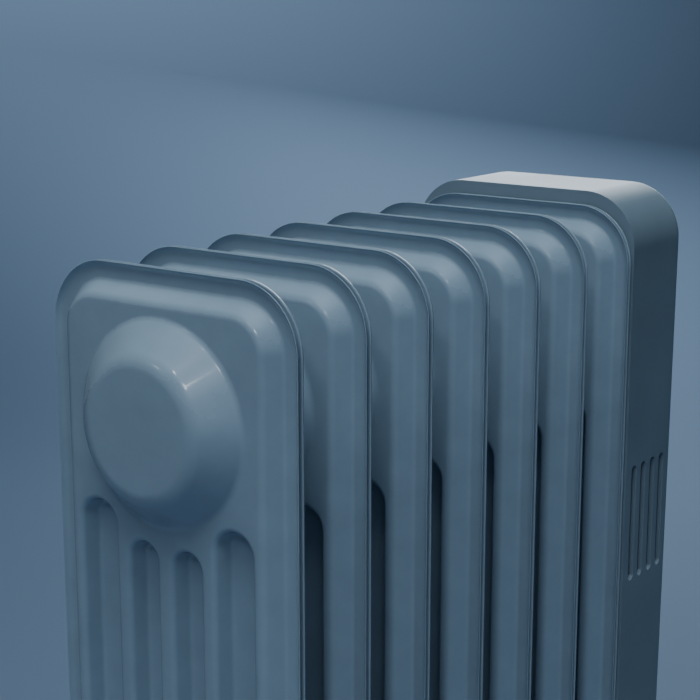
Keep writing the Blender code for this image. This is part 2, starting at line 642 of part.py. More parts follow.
def make_thermostat(face, panel):
    """The bimetal thermostat behind the panel, its shaft and the knob on it."""
    place = (0, 0, KNOB_RISE)
    back = PANEL_PROUD - PANEL_THICKNESS - GAP
    size = (THERMOSTAT_SIZE, THERMOSTAT_DEPTH, THERMOSTAT_SIZE)
    body_middle = back - THERMOSTAT_DEPTH / 2
    body_mesh = box_mesh("thermostat_body", size, (0, body_middle, 0), THERMOSTAT_CORNER, steps=1)
    body = add_object("thermostat_body", body_mesh, PHENOLIC, parent=face, location=place)
    knob_front = KNOB_BACK + KNOB_DEPTH
    shaft_start = back - THERMOSTAT_DEPTH + SHAFT_SEAT
    shaft_end = knob_front - SHAFT_SEAT
    length = shaft_end - shaft_start
    shaft = rod_mesh("thermostat_shaft", SHAFT_RADIUS, length, (0, (shaft_start + shaft_end) / 2, 0), "Y", 12)
    add_object("thermostat_shaft", shaft, PLATED, parent=face, location=place)
    hole_middle = shaft_start - GAP + length / 2
    hole = rod_mesh("shaft_hole", SHAFT_RADIUS + RUNNING_GAP, length, (0, hole_middle, 0), "Y", 12)
    shaft_hole = add_object("shaft_hole", hole, parent=face, location=place)
    cut(body, shaft_hole)
    cut(panel, shaft_hole)
    skirt_top = knob_front - KNOB_GRIP_DEPTH
    profile = ((0, skirt_top), (KNOB_RADIUS - KNOB_CHAMFER, skirt_top),
               (KNOB_RADIUS, skirt_top - KNOB_CHAMFER_DEPTH), (KNOB_RADIUS, KNOB_BACK), (0, KNOB_BACK))
    knob = turned("thermostat_knob", profile, 24, TRIM, place, "Y", face)
    grip_depth = KNOB_GRIP_DEPTH + GRIP_SINK
    grip_size = (KNOB_GRIP_WIDTH, grip_depth, 2 * (KNOB_RADIUS - KNOB_GRIP_INSET))
    grip = box_mesh("knob_grip", grip_size, (0, knob_front - grip_depth / 2, 0), KNOB_GRIP_RADIUS, 1, 1)
    socket_length = length - (KNOB_BACK - shaft_start) + GAP
    socket = rod_mesh("knob_socket", SHAFT_RADIUS + GAP, 2 * socket_length, (0, KNOB_BACK, 0), "Y", 12)
    join(knob, add_object("knob_grip", grip, parent=face, location=place))
    cut(knob, add_object("knob_socket", socket, parent=face, location=place))


def make_switch(face, panel, name, x):
    """A rocker switch: a rimmed body through the panel and a rocker on a cross axis."""
    place = (x, 0, -SWITCH_DROP)
    opening = box_mesh("switch_opening", (SWITCH_WIDTH, 6 * PANEL_THICKNESS, SWITCH_HEIGHT))
    cut(panel, add_object("switch_opening", opening, parent=face, location=place))
    rim_back = PANEL_PROUD + GAP
    rim_front = rim_back + SWITCH_RIM_DEPTH
    core_size = (SWITCH_WIDTH - 2 * GAP, SWITCH_DEPTH, SWITCH_HEIGHT - 2 * GAP)
    core = box_mesh("switch_core", core_size, (0, rim_front - SWITCH_RIM_DEPTH / 2 - SWITCH_DEPTH / 2, 0))
    rim_size = (SWITCH_WIDTH + 2 * SWITCH_RIM, SWITCH_RIM_DEPTH, SWITCH_HEIGHT + 2 * SWITCH_RIM)
    body = add_object(name + "_body", box_mesh(name + "_body", rim_size, (0, (rim_back + rim_front) / 2, 0)),
                      PHENOLIC, parent=face, location=place)
    pocket_size = (SWITCH_WIDTH - 2 * SWITCH_RIM, 2 * POCKET_DEPTH, SWITCH_HEIGHT - 2 * SWITCH_RIM)
    pocket = box_mesh("switch_pocket", pocket_size, (0, rim_front, 0))
    join(body, add_object("switch_core", core, parent=face, location=place))
    cut(body, add_object("switch_pocket", pocket, parent=face, location=place))
    half_width = pocket_size[0] / 2 - RUNNING_GAP
    half_height = pocket_size[2] / 2 - 2 * RUNNING_GAP
    reach = ROCKER_HINGE_DEPTH + ROCKER_PROUD
    dip = half_height * math.tan(ROCKER_TRAVEL / 2)
    corners = ((-half_height, -ROCKER_SIDE_DEPTH), (-half_height, reach), (0, reach - dip),
               (half_height, reach), (half_height, -ROCKER_SIDE_DEPTH), (0, -ROCKER_KEEL_DEPTH))
    bm = bmesh.new()
    side = bm.faces.new([bm.verts.new((-half_width, y, z)) for z, y in corners])
    grown = bmesh.ops.extrude_face_region(bm, geom=[side])["geom"]
    far_side = [item for item in grown if isinstance(item, bmesh.types.BMVert)]
    bmesh.ops.translate(bm, vec=(2 * half_width, 0, 0), verts=far_side)
    bmesh.ops.rotate(bm, matrix=Matrix.Rotation(ROCKER_TRAVEL / 2, 3, "X"), verts=bm.verts)
    bmesh.ops.recalc_face_normals(bm, faces=bm.faces)
    hinge = (x, rim_front - ROCKER_HINGE_DEPTH, -SWITCH_DROP)
    add_object(name + "_rocker", mesh_from(name + "_rocker", bm), TRIM, parent=face, location=hinge)


def make_lamp(face, panel):
    place = (0, PANEL_PROUD, -LAMP_DROP)
    hole = rod_mesh("lamp_hole", LAMP_RADIUS + GAP, 6 * PANEL_THICKNESS, axis="Y", sides=12)
    cut(panel, add_object("lamp_hole", hole, parent=face, location=place))
    profile = ((0, LAMP_RISE), (LAMP_SHOULDER, LAMP_SHOULDER_RISE), (LAMP_RADIUS, 0),
               (LAMP_RADIUS, -LAMP_DEPTH), (0, -LAMP_DEPTH))
    turned("indicator_lamp", profile, 12, LENS, place, "Y", face)


def make_grip(shell):
    """A moulded cup set in the front for the fingers that tow the heater."""
    face = face_frame("grip_face", HOUSING_TOP - GRIP_DROP)
    opening = box_mesh("grip_opening", (GRIP_WIDTH, 6 * HOUSING_WALL, GRIP_HEIGHT), radius=GRIP_RADIUS)
    cut(shell, add_object("grip_opening", opening, parent=face))
    middle = PANEL_PROUD - GRIP_DEPTH / 2
    outer_size = (GRIP_WIDTH - 2 * GAP, GRIP_DEPTH, GRIP_HEIGHT - 2 * GAP)
    outer = box_mesh("hand_grip_cup", outer_size, (0, middle, 0), GRIP_RADIUS - GAP)
    cup = add_object("hand_grip_cup", outer, TRIM, parent=face)
    hollow = box_mesh("grip_hollow", (GRIP_WIDTH - 2 * GRIP_WALL, GRIP_DEPTH, GRIP_HEIGHT - 2 * GRIP_WALL),
                      (0, middle + GRIP_WALL, 0), GRIP_RADIUS - GRIP_WALL)
    cut(cup, add_object("grip_hollow", hollow, parent=face))


# Oil and electrical fittings

def element_points(start, end, upright):
    """A hairpin whose bend ends at one depth: a leg in, a half round bend and a leg back."""
    bend = arc(0, -end - ELEMENT_SPREAD, ELEMENT_SPREAD, 0, 180, 6)
    route = [(ELEMENT_SPREAD, start), *[(across, -depth) for across, depth in bend], (-ELEMENT_SPREAD, start)]
    if upright:
        return [(0, y, LOWER_HUB_Z + across) for across, y in route]
    return [(across, y, LOWER_HUB_Z) for across, y in route]


def make_heater():
    """The gasket, the flange and the two hairpin elements in the lower hubs, and the oil plug."""
    flange_back = PLATE_BACK + GASKET + GAP
    ring = ((GASKET_RADIUS, GASKET), (GASKET_RADIUS, 0), (HUB_HOLE_RADIUS, 0), (HUB_HOLE_RADIUS, GASKET))
    turned("element_gasket", ring, 16, RUBBER, (0, PLATE_BACK, LOWER_HUB_Z), "Y")
    disc = rod_mesh("element_flange", FLANGE_RADIUS, FLANGE_DEPTH, (0, FLANGE_DEPTH / 2, 0), "Y", 20)
    flange = add_object("element_flange", disc, BRASS, location=(0, flange_back, LOWER_HUB_Z))
    for x, z in ((1, 0), (-1, 0), (0, 1), (0, -1)):
        hole = rod_mesh("element_hole", ELEMENT_RADIUS + GAP, 4 * FLANGE_DEPTH, axis="Y", sides=8)
        place = (x * ELEMENT_SPREAD, flange_back, LOWER_HUB_Z + z * ELEMENT_SPREAD)
        cut(flange, add_object("element_hole", hole, location=place))
    start = flange_back + FLANGE_DEPTH + TERMINAL_PROUD
    bend_end = ELEMENT_RADIUS + SHEET
    bent_rod("heating_element_long", element_points(start, bend_end, False), ELEMENT_RADIUS, SHEATH, 1)
    short_end = bend_end + ELEMENT_BACK_OFF
    bent_rod("heating_element_short", element_points(start, short_end, True), ELEMENT_RADIUS, SHEATH, 1)
    profile = ((0, PLUG_DEPTH + PLUG_NUT_DEPTH), (PLUG_NUT_RADIUS, PLUG_DEPTH + PLUG_NUT_DEPTH),
               (PLUG_NUT_RADIUS, PLUG_DEPTH), (PLUG_RADIUS, PLUG_DEPTH), (PLUG_RADIUS, 0), (0, 0))
    turned("oil_filler_plug", profile, 16, PLATED, (0, PLATE_BACK, UPPER_HUB_Z), "Y")


def make_electrics():
    """The fittings on the front of the back plate."""
    seat = PLATE_FRONT + GAP
    profile = ((0, CUTOUT_DEPTH), (CUTOUT_CAP_RADIUS, CUTOUT_DEPTH), (CUTOUT_CAP_RADIUS, CUTOUT_BASE),
               (CUTOUT_RADIUS, CUTOUT_BASE), (CUTOUT_RADIUS, 0), (0, 0))
    turned("thermal_cutout", profile, 16, PHENOLIC, (0, seat, LOWER_HUB_Z + CUTOUT_RISE), "Y")
    block_place = (0, seat + BLOCK_SIZE[1] / 2, LOWER_HUB_Z + BLOCK_RISE)
    block = add_object("terminal_block", box_mesh("terminal_block", BLOCK_SIZE), PHENOLIC,
                       location=block_place)
    for x in (-TERMINAL_PITCH, 0, TERMINAL_PITCH):
        hole = rod_mesh("terminal_hole", LEAD_RADIUS + GAP, 2 * BLOCK_SIZE[2], (x, 0, 0), sides=8)
        cut(block, add_object("terminal_hole", hole, location=block_place))
    make_tip_switch((0, seat, LOWER_HUB_Z + TIP_RISE))


def make_tip_switch(place):
    """A cup open to the front and below, with a pendulum that swings sideways in it."""
    width, depth, height = TIP_SIZE
    body = add_object("tip_switch_body", box_mesh("tip_switch_body", TIP_SIZE, (0, depth / 2, 0)), PHENOLIC,
                      location=place)
    hollow_size = (width - 2 * TIP_WALL, depth, height)
    hollow = box_mesh("tip_hollow", hollow_size, (0, depth / 2 + TIP_WALL, -TIP_WALL))
    cut(body, add_object("tip_hollow", hollow, location=place))
    pivot = (place[0], place[1] + TIP_WALL + RUNNING_GAP + BOB_RADIUS, place[2] + height / 2 - 4 * TIP_WALL)
    bob_top = -PENDULUM_LENGTH / 2
    profile = ((0, bob_top), (BOB_RADIUS, bob_top - BOB_SLOPE), (BOB_RADIUS, BOB_CHAMFER - PENDULUM_LENGTH),
               (BOB_RADIUS - BOB_CHAMFER, -PENDULUM_LENGTH), (0, -PENDULUM_LENGTH))
    pendulum = turned("tip_switch_pendulum", profile, 12, BRASS, pivot)
    arm_base = bob_top - BOB_SLOPE - BOB_CHAMFER
    arm_size = (PENDULUM_ARM, PENDULUM_ARM, ARM_ABOVE_PIVOT - arm_base)
    arm = box_mesh("pendulum_arm", arm_size, (0, 0, (ARM_ABOVE_PIVOT + arm_base) / 2))
    join(pendulum, add_object("pendulum_arm", arm, location=pivot))


def make_gland(shell):
    """The bush that lines the cord's way through the housing's base."""
    y = (PLATE_FRONT + front_y(HOUSING_BASE)) / 2
    neck = GLAND_RADIUS - GLAND_STEP
    hole = rod_mesh("gland_hole", neck, 6 * HOUSING_WALL, sides=16)
    cut(shell, add_object("gland_hole", hole, location=(0, y, HOUSING_BASE)))
    inside = HOUSING_WALL + GLAND_INSIDE
    profile = ((neck - GAP, inside), (neck - GAP, -GAP), (GLAND_RADIUS, -GAP), (GLAND_RADIUS, -GLAND_LIP),
               (GLAND_BORE, -GLAND_LIP), (GLAND_BORE, inside))
    turned("cord_inlet_gland", profile, 16, RUBBER, (0, y, HOUSING_BASE))


def lead_points(start, end):
    """An insulated lead's route: it rises along the back plate, then eases forward to its end."""
    rise = end[2] - start[2]
    leave, arrive = (start[2] + share * rise for share in LEAD_EASE)
    guides = (start, (start[0], start[1], leave), (end[0], start[1], arrive), end)
    route = []
    for i in range(LEAD_STEPS + 1):
        t = i / LEAD_STEPS
        weights = ((1 - t) ** 3, 3 * t * (1 - t) ** 2, 3 * t * t * (1 - t), t ** 3)
        route.append([sum(w * guide[k] for w, guide in zip(weights, guides)) for k in range(3)])
    return route


def make_leads():
    """The two leads from the terminal block up to the thermostat."""
    block_top = LOWER_HUB_Z + BLOCK_RISE + BLOCK_SIZE[2] / 2 + GAP
    thermostat_base = KNOB_Z - THERMOSTAT_SIZE / 2 - 2 * GAP
    thermostat_y = front_y(KNOB_Z) - PANEL_THICKNESS - THERMOSTAT_DEPTH / 2
    for name, side in (("supply_lead", -1), ("return_lead", 1)):
        start = (side * TERMINAL_PITCH, PLATE_FRONT + GAP + BLOCK_SIZE[1] / 2, block_top)
        end = (side * THERMOSTAT_SIZE / 4, thermostat_y, thermostat_base)
        bent_rod(name, lead_points(start, end), LEAD_RADIUS, RUBBER, 1)


def make_housing_screws(shell, plate):
    """Two screws through the front's lower corners into the back plate."""
    face = face_frame("screw_face", HOUSING_BASE + SCREW_RISE)
    length = front_y(HOUSING_BASE + SCREW_RISE) - PLATE_BACK
    for side, x in (("left", -SCREW_OFFSET), ("right", SCREW_OFFSET)):
        profile = ((0, GAP + SCREW_HEAD), (SCREW_CROWN_RADIUS, GAP + SCREW_HEAD),
                   (SCREW_HEAD_RADIUS, GAP + SCREW_HEAD_EDGE), (SCREW_HEAD_RADIUS, GAP), (SCREW_RADIUS, GAP),
                   (SCREW_RADIUS, -length), (0, -length))
        turned("housing_screw_" + side, profile, 12, PLATED, (x, 0, 0), "Y", face)
        bore = rod_mesh("screw_hole", SCREW_RADIUS + GAP, 3 * length, axis="Y", sides=12)
        hole = add_object("screw_hole", bore, parent=face, location=(x, 0, 0))
        cut(shell, hole)
        cut(plate, hole)


make_fins()
make_feet()
housing_shell = make_housing()
back_plate = make_back_plate()
make_front(housing_shell)
make_heater()
make_electrics()
make_gland(housing_shell)
make_leads()
make_housing_screws(housing_shell, back_plate)
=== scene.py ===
# %% [markdown]
# # An oil filled radiator
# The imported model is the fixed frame: it says where every piece sits, in metres. Here each piece
# that shows gets its fine surface and its finish, and nothing that the frame holds is moved.

# %% Load the frame
import json
import math

import bmesh
import bpy
from mathutils import Matrix, Vector


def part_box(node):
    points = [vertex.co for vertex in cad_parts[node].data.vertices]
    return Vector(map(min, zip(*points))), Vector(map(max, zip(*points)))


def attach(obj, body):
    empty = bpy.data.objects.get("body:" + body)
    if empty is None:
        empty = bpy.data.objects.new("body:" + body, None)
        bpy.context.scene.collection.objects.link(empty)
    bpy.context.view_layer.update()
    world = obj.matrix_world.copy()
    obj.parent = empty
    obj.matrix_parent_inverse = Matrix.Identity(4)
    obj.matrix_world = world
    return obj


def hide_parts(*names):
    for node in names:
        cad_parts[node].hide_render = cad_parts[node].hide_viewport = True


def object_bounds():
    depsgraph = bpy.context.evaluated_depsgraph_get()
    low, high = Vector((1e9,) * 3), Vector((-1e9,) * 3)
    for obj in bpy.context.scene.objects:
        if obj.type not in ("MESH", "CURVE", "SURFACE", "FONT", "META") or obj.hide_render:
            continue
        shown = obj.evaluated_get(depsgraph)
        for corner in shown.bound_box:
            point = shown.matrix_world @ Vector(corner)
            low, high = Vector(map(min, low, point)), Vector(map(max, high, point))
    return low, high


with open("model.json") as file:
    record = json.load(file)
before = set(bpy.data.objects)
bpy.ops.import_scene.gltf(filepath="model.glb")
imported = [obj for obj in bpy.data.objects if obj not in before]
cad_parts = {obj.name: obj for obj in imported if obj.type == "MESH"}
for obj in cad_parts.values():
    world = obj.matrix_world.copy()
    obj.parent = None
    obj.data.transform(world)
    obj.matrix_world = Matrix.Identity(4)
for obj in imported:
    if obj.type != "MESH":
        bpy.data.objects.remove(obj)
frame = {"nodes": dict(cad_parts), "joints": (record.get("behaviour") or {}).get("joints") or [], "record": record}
cad_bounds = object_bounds()
MM = 0.001
slot_of = {part["node"]: part["material_slot"] for part in frame["record"]["subparts"]}
joint_of = {joint["name"]: joint for joint in frame["joints"]}
body_of = {node: body for body, nodes in frame["record"]["behaviour"]["bodies"].items() for node in nodes}
print("frame:", len(frame["nodes"]), "pieces, box", [[round(v, 4) for v in corner] for corner in cad_bounds])

# %% [markdown]
# ## Colours and nodes
# A colour is easiest to choose as a hex value, but a shader wants linear light, so one function turns
# the one into the other. One more adds a node, sets it and plugs it in, which keeps each material short.

# %% Helpers for materials
def linear(code):
    """An sRGB hex colour as linear red, green, blue and alpha."""
    values = [int(code[i:i + 2], 16) / 255 for i in (0, 2, 4)]
    return [v / 12.92 if v <= 0.04045 else ((v + 0.055) / 1.055) ** 2.4 for v in values] + [1.0]


def add_node(tree, kind, plugs=None, stops=(), **settings):
    """Adds a node with its settings, and gives its sockets values or other nodes' outputs.

    Stops are a colour ramp's two places and hex colours.
    """
    made = tree.nodes.new(kind)
    for key, value in settings.items():
        setattr(made, key, value)
    for socket, value in (plugs or {}).items():
        if isinstance(value, bpy.types.NodeSocket):
            tree.links.new(value, made.inputs[socket])
        else:
            made.inputs[socket].default_value = value
    for i, (place, code) in enumerate(stops):
        made.color_ramp.elements[i].position = place
        made.color_ramp.elements[i].color = linear(code)
    return made


def new_material(name, **constants):
    """A material, its node tree and its Principled shader, with constants set on the shader's sockets."""
    made = bpy.data.materials.new(name)
    made.use_nodes = True
    tree = made.node_tree
    shader = tree.nodes["Principled BSDF"]
    for socket, value in constants.items():
        shader.inputs[socket.replace("_", " ")].default_value = value
    return made, tree, shader


def patchy_finish(name, colours, roughness, patch, grain=None, stretch=(1, 1, 1), **constants):
    """A finish whose colour and roughness drift together in soft patches, under a fine raised grain.

    Colours are a ramp's two places and hex colours, and roughness is its least and its most. A patch is a
    size, a detail and a noise roughness, and a grain is a size, a depth and a strength. Sizes are in metres.
    """
    made, tree, shader = new_material(name, **constants)
    place = add_node(tree, "ShaderNodeTexCoord").outputs["Object"]
    size, detail, harshness = patch
    least, most = roughness
    drift = add_node(tree, "ShaderNodeTexNoise", {"Vector": place, "Scale": 1 / size, "Detail": detail,
                                                  "Roughness": harshness}).outputs["Fac"]
    colour = add_node(tree, "ShaderNodeValToRGB", {"Fac": drift}, colours)
    wear = add_node(tree, "ShaderNodeMapRange", {"Value": drift, "To Min": least, "To Max": most})
    tree.links.new(colour.outputs["Color"], shader.inputs["Base Color"])
    tree.links.new(wear.outputs["Result"], shader.inputs["Roughness"])
    if grain:
        size, depth, strength = grain
        drawn = add_node(tree, "ShaderNodeMapping", {"Vector": place, "Scale": stretch}).outputs["Vector"]
        specks = add_node(tree, "ShaderNodeTexNoise", {"Vector": drawn, "Scale": 1 / size, "Detail": 2.0,
                                                       "Roughness": 0.5}).outputs["Fac"]
        relief = add_node(tree, "ShaderNodeBump", {"Height": specks, "Strength": strength, "Distance": depth})
        tree.links.new(relief.outputs["Normal"], shader.inputs["Normal"])
    return made


print("helpers ready")

# %% [markdown]
# ## Baked enamel on pressed steel
# The fins are pressed from thin sheet, welded, then dipped or sprayed and baked. Baked enamel is a smooth,
# glossy, slightly thick coat: it shows sharp highlights with a faint orange peel, and a little dust
# dulls its upward faces. The coat's own colour barely varies, so most of the life comes from roughness.

# %% Baked enamel
ORANGE_PEEL = 2.2 * MM
ORANGE_PEEL_DEPTH = 0.010 * MM
SHEET_WAVE = 60 * MM
SHEET_WAVE_DEPTH = 0.25 * MM
DUST_PATCH = 18 * MM
DUST_SHARE = 0.55


def baked_enamel(name, light, dark, dust, gloss):
    """Enamel whose flats are as rough as the given gloss, and whose upward faces hold dust."""
    made, tree, shader = new_material(name, IOR=1.52, Coat_Weight=0.55, Coat_Roughness=0.09)
    place = add_node(tree, "ShaderNodeTexCoord").outputs["Object"]
    patches = add_node(tree, "ShaderNodeTexNoise", {"Vector": place, "Scale": 1 / DUST_PATCH, "Detail": 6.0,
                                                    "Roughness": 0.6}).outputs["Fac"]
    base = add_node(tree, "ShaderNodeValToRGB", {"Fac": patches}, ((0.3, dark), (0.7, light)))
    normal = add_node(tree, "ShaderNodeNewGeometry").outputs["Normal"]
    up = add_node(tree, "ShaderNodeSeparateXYZ", {"Vector": normal}).outputs["Z"]
    grime = add_node(tree, "ShaderNodeMath", {0: up, 1: patches}, operation="MULTIPLY").outputs[0]
    dusty = add_node(tree, "ShaderNodeMath", {0: grime, 1: DUST_SHARE}, operation="MULTIPLY",
                     use_clamp=True).outputs[0]
    coloured = add_node(tree, "ShaderNodeMix", {"Factor": dusty, "A": base.outputs["Color"],
                                                "B": linear(dust)}, data_type="RGBA").outputs["Result"]
    wear = add_node(tree, "ShaderNodeMapRange", {"Value": patches, "To Min": gloss,
                                                 "To Max": gloss + 0.10}).outputs["Result"]
    dulled = add_node(tree, "ShaderNodeMath", {0: wear, 1: dusty}, operation="ADD", use_clamp=True).outputs[0]
    relief = None
    for size, depth, strength in ((ORANGE_PEEL, ORANGE_PEEL_DEPTH, 0.6), (SHEET_WAVE, SHEET_WAVE_DEPTH, 0.5)):
        ripple = add_node(tree, "ShaderNodeTexNoise", {"Vector": place, "Scale": 1 / size, "Detail": 1.0,
                                                       "Roughness": 0.5}).outputs["Fac"]
        plugs = {"Height": ripple, "Strength": strength, "Distance": depth}
        if relief is not None:
            plugs["Normal"] = relief
        relief = add_node(tree, "ShaderNodeBump", plugs).outputs["Normal"]
    for socket, output in (("Base Color", coloured), ("Roughness", dulled), ("Normal", relief)):
        tree.links.new(output, shader.inputs[socket])
    return made


fin_enamel = baked_enamel("baked_enamel_on_pressed_steel", "8CA2B3", "869BAC", "98AAB6", 0.16)
foot_enamel = baked_enamel("satin_enamel_on_steel_bar", "7C8F9D", "738694", "A0A9AF", 0.30)
print("enamels:", fin_enamel.name, foot_enamel.name)

# %% [markdown]
# ## Moulded plastics
# The housing is moulded ABS with a fine spark-eroded texture, which scatters the light, so the housing looks
# softer than the enamel beside it. The controls are a darker moulding, and the casters are nylon, which has a
# coarser, waxier surface.

# %% Moulded plastics
SPARK_GRAIN = 0.9 * MM
SPARK_DEPTH = 0.02 * MM
FLOW_PATCH = 45 * MM


def moulded_plastic(name, light, dark, rough, grain=(SPARK_GRAIN, SPARK_DEPTH, 0.8), sheen=0.0):
    """A moulding whose colour drifts where the melt flowed, with its mould's texture raised on it."""
    return patchy_finish(name, ((0.3, dark), (0.7, light)), (rough - 0.05, rough + 0.08),
                         (FLOW_PATCH, 4.0, 0.55), grain, IOR=1.53, Sheen_Weight=sheen)


housing_plastic = moulded_plastic("moulded_abs_fine_texture", "7A8D9B", "718492", 0.42)
control_plastic = moulded_plastic("moulded_abs_dark_satin", "434C55", "3A434B", 0.36)
phenolic = moulded_plastic("moulded_phenolic", "2E2A27", "242120", 0.45)
nylon = moulded_plastic("moulded_nylon", "24272A", "1B1E20", 0.40, (3 * MM, 0.03 * MM, 0.8), 0.05)
lead_skin = moulded_plastic("silicone_insulation", "7A2A22", "6C231C", 0.55, (1.5 * MM, 0.02 * MM, 0.8), 0.1)
print("plastics ready")

# %% [markdown]
# ## Rubber, metals and the lamp
# Rubber is matt and slightly dusty. Zinc plate is bright but cloudy, brass is turned, with fine rings, and
# the element's sheath is annealed steel that heat has browned. The lamp's lens is tinted acrylic.

# %% Rubber, metals and lens
BLOOM_PATCH = 8 * MM
RUBBER_GRAIN = 0.6 * MM
LENS_RIB = 1.2 * MM


def metal(name, light, dark, rough, cloud, grain, depth, stretch=(1, 1, 1)):
    """Metal with cloudy colour and roughness, and a grain that can be stretched into brushing."""
    return patchy_finish(name, ((0.3, dark), (0.7, light)), (rough, rough + 0.14), (cloud, 5.0, 0.6),
                         (grain, depth, 0.7), stretch, Metallic=1.0)


rubber = patchy_finish("moulded_black_rubber", ((0.3, "17181A"), (0.75, "232527")), (0.62, 0.82),
                       (BLOOM_PATCH, 5.0, 0.6), (RUBBER_GRAIN, 0.03 * MM, 0.7), IOR=1.52, Sheen_Weight=0.15,
                       Sheen_Roughness=0.5)
zinc = metal("zinc_plated_steel", "C9CCCE", "A9ADB1", 0.24, 5 * MM, 0.8 * MM, 0.008 * MM)
brass = metal("turned_brass", "C9A566", "B08C4E", 0.22, 9 * MM, 0.5 * MM, 0.006 * MM, (1, 0.1, 1))
sheath = metal("annealed_steel_sheath", "8C837A", "6E6259", 0.34, 16 * MM, 0.7 * MM, 0.008 * MM)
lens = patchy_finish("tinted_acrylic", ((0.3, "C2501A"), (0.7, "D8682A")), (0.08, 0.16), (LENS_RIB, 2.0, 0.5),
                     (LENS_RIB, 0.02 * MM, 0.5), IOR=1.49, Transmission_Weight=0.35, Coat_Weight=0.3)
skins = {"fin_enamel": fin_enamel, "foot_enamel": foot_enamel, "zinc_plated_steel": zinc,
         "housing_moulding": housing_plastic, "control_moulding": control_plastic, "phenolic": phenolic,
         "lamp_lens": lens, "lead_insulation": lead_skin, "rubber": rubber, "brass": brass,
         "element_sheath": sheath, "caster_nylon": nylon}
for node_name, cad_object in frame["nodes"].items():
    cad_object.data.materials.clear()
    cad_object.data.materials.append(skins[slot_of[node_name]])
print("finishes:", len(skins))

# %% [markdown]
# ## Making pieces
# Every new piece is added the same way: a mesh goes into the scene with its finish, rides on the body that
# its node belongs to, and stands for that node.

# %% Helpers for meshes
def add_piece(name, mesh, node_name, skin=None, replaces=True, even_flats=True):
    """A piece that takes its body, its slot and its finish from a node of the frame."""
    made = bpy.data.objects.new(name, mesh)
    bpy.context.scene.collection.objects.link(made)
    if even_flats:
        made.modifiers.new("even_flats", "WEIGHTED_NORMAL").keep_sharp = True
    slot = slot_of[node_name]
    if not mesh.materials:
        mesh.materials.append(skin or skins[slot])
    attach(made, body_of[node_name])
    if replaces:
        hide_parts(node_name)
    return made


def mesh_from(name, bm, sharp=35):
    bmesh.ops.recalc_face_normals(bm, faces=bm.faces)
    mesh = bpy.data.meshes.new(name)
    bm.to_mesh(mesh)
    bm.free()
    mesh.shade_smooth()
    mesh.set_sharp_from_angle(angle=math.radians(sharp))
    return mesh


def modifier(target, kind, **settings):
    made = target.modifiers.new(kind.lower(), kind)
    for key, value in settings.items():
        setattr(made, key, value)
    return made


def size_of(node_name):
    low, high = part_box(node_name)
    return Vector(high) - Vector(low)


def centre_of(node_name):
    low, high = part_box(node_name)
    return (Vector(high) + Vector(low)) / 2


def arc(x, z, radius, start, end, steps):
    angles = [math.radians(start + (end - start) * i / steps) for i in range(steps + 1)]
    return [(x + radius * math.cos(a), z + radius * math.sin(a)) for a in angles]


def filleted(corners, radii, steps=5):
    """A polyline whose inner corners are rounded by arcs of the given radii."""
    points = [Vector(corners[0])]
    for before, corner, after, radius in zip(corners, corners[1:], corners[2:], radii):
        corner = Vector(corner)
        back = (Vector(before) - corner).normalized()
        ahead = (Vector(after) - corner).normalized()
        half = back.angle(ahead) / 2
        reach = radius / math.tan(half)
        centre = corner + (back + ahead).normalized() * radius / math.sin(half)
        first = corner + back * reach - centre
        turn = (corner + ahead * reach - centre).angle_signed(first)
        for i in range(steps + 1):
            points.append(centre + Matrix.Rotation(turn * i / steps, 2) @ first)
    points.append(Vector(corners[-1]))
    return points


print("mesh helpers ready")

# %% [markdown]
# ## A pressed fin half
# A fin is two shallow pressings welded back to back. From its edge inwards a half has a curled rim, a flat
# margin, a soft step up to the panel, four long channels, and a dome at each end that meets the next fin.
# The surface could be a sculpted height field, but rings give clean highlights with few faces: each feature
# is an outline, repeated along a filleted profile, and the flat panel between them is filled.

# %% Sizes of the fin
FIN_SHEET = 0.9 * MM
RIM_INSET = 0.4 * MM
RIM_CURL_WIDTH = 1.8 * MM
RIM_CURL_RISE = 2 * MM
REAR_CURL_RISE = 0.15 * MM
STEP_BASE_FILLET = 2.4 * MM
STEP_TOP_FILLET = 4.5 * MM
MARGIN_END = 8.5 * MM
PANEL_START = 13.5 * MM
PANEL_RISE = 8.4 * MM
HUB_BASE = 44.6 * MM
HUB_FACE = 30.3 * MM
HUB_HOLE = 20 * MM
HUB_BASE_FILLET = 4 * MM
HUB_FACE_FILLET = 11 * MM
HUB_FROM_END = 64.4 * MM
CORNER = 29.3 * MM
CHANNEL_SLOPE = 3 * MM
CHANNEL_FILLETS = (3 * MM, 2.2 * MM)
# each pair of channels: offset from the middle, width, distance from the fin's end
CHANNELS = ((38.2 * MM, 21 * MM, 103.5 * MM), (12.3 * MM, 16.5 * MM, 117.5 * MM))
# how far a step's and a dome's profile run on along the panel
PANEL_RUN = 4 * MM
DOME_RUN = 6 * MM

fin_size = size_of("fin_2_front_half")
fin_low, fin_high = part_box("fin_2_front_half")
FIN_WIDTH = fin_size.x
FIN_HEIGHT = fin_size.z
FIN_HUB_RISE = fin_high[1] - fin_low[1]
print("fin:", round(FIN_WIDTH, 4), "by", round(FIN_HEIGHT, 4), "hub rise", round(FIN_HUB_RISE, 4))


# %% Build one half
def level_ring(bm, outline, rise):
    return [bm.verts.new((x, -rise, z)) for x, z in outline]


def bridge(bm, rings):
    for first, second in zip(rings, rings[1:]):
        for i in range(len(first)):
            bm.faces.new((first[i - 1], first[i], second[i], second[i - 1]))


def ring_edges(bm, ring):
    return [bm.edges.get((ring[i - 1], ring[i])) for i in range(len(ring))]


def fin_outline(inset):
    radius = CORNER - inset
    x = FIN_WIDTH / 2 - CORNER
    corners = ((x, CORNER, -90), (x, FIN_HEIGHT - CORNER, 0),
               (-x, FIN_HEIGHT - CORNER, 90), (-x, CORNER, 180))
    return [point for x, z, start in corners for point in arc(x, z, radius, start, start + 90, 12)]


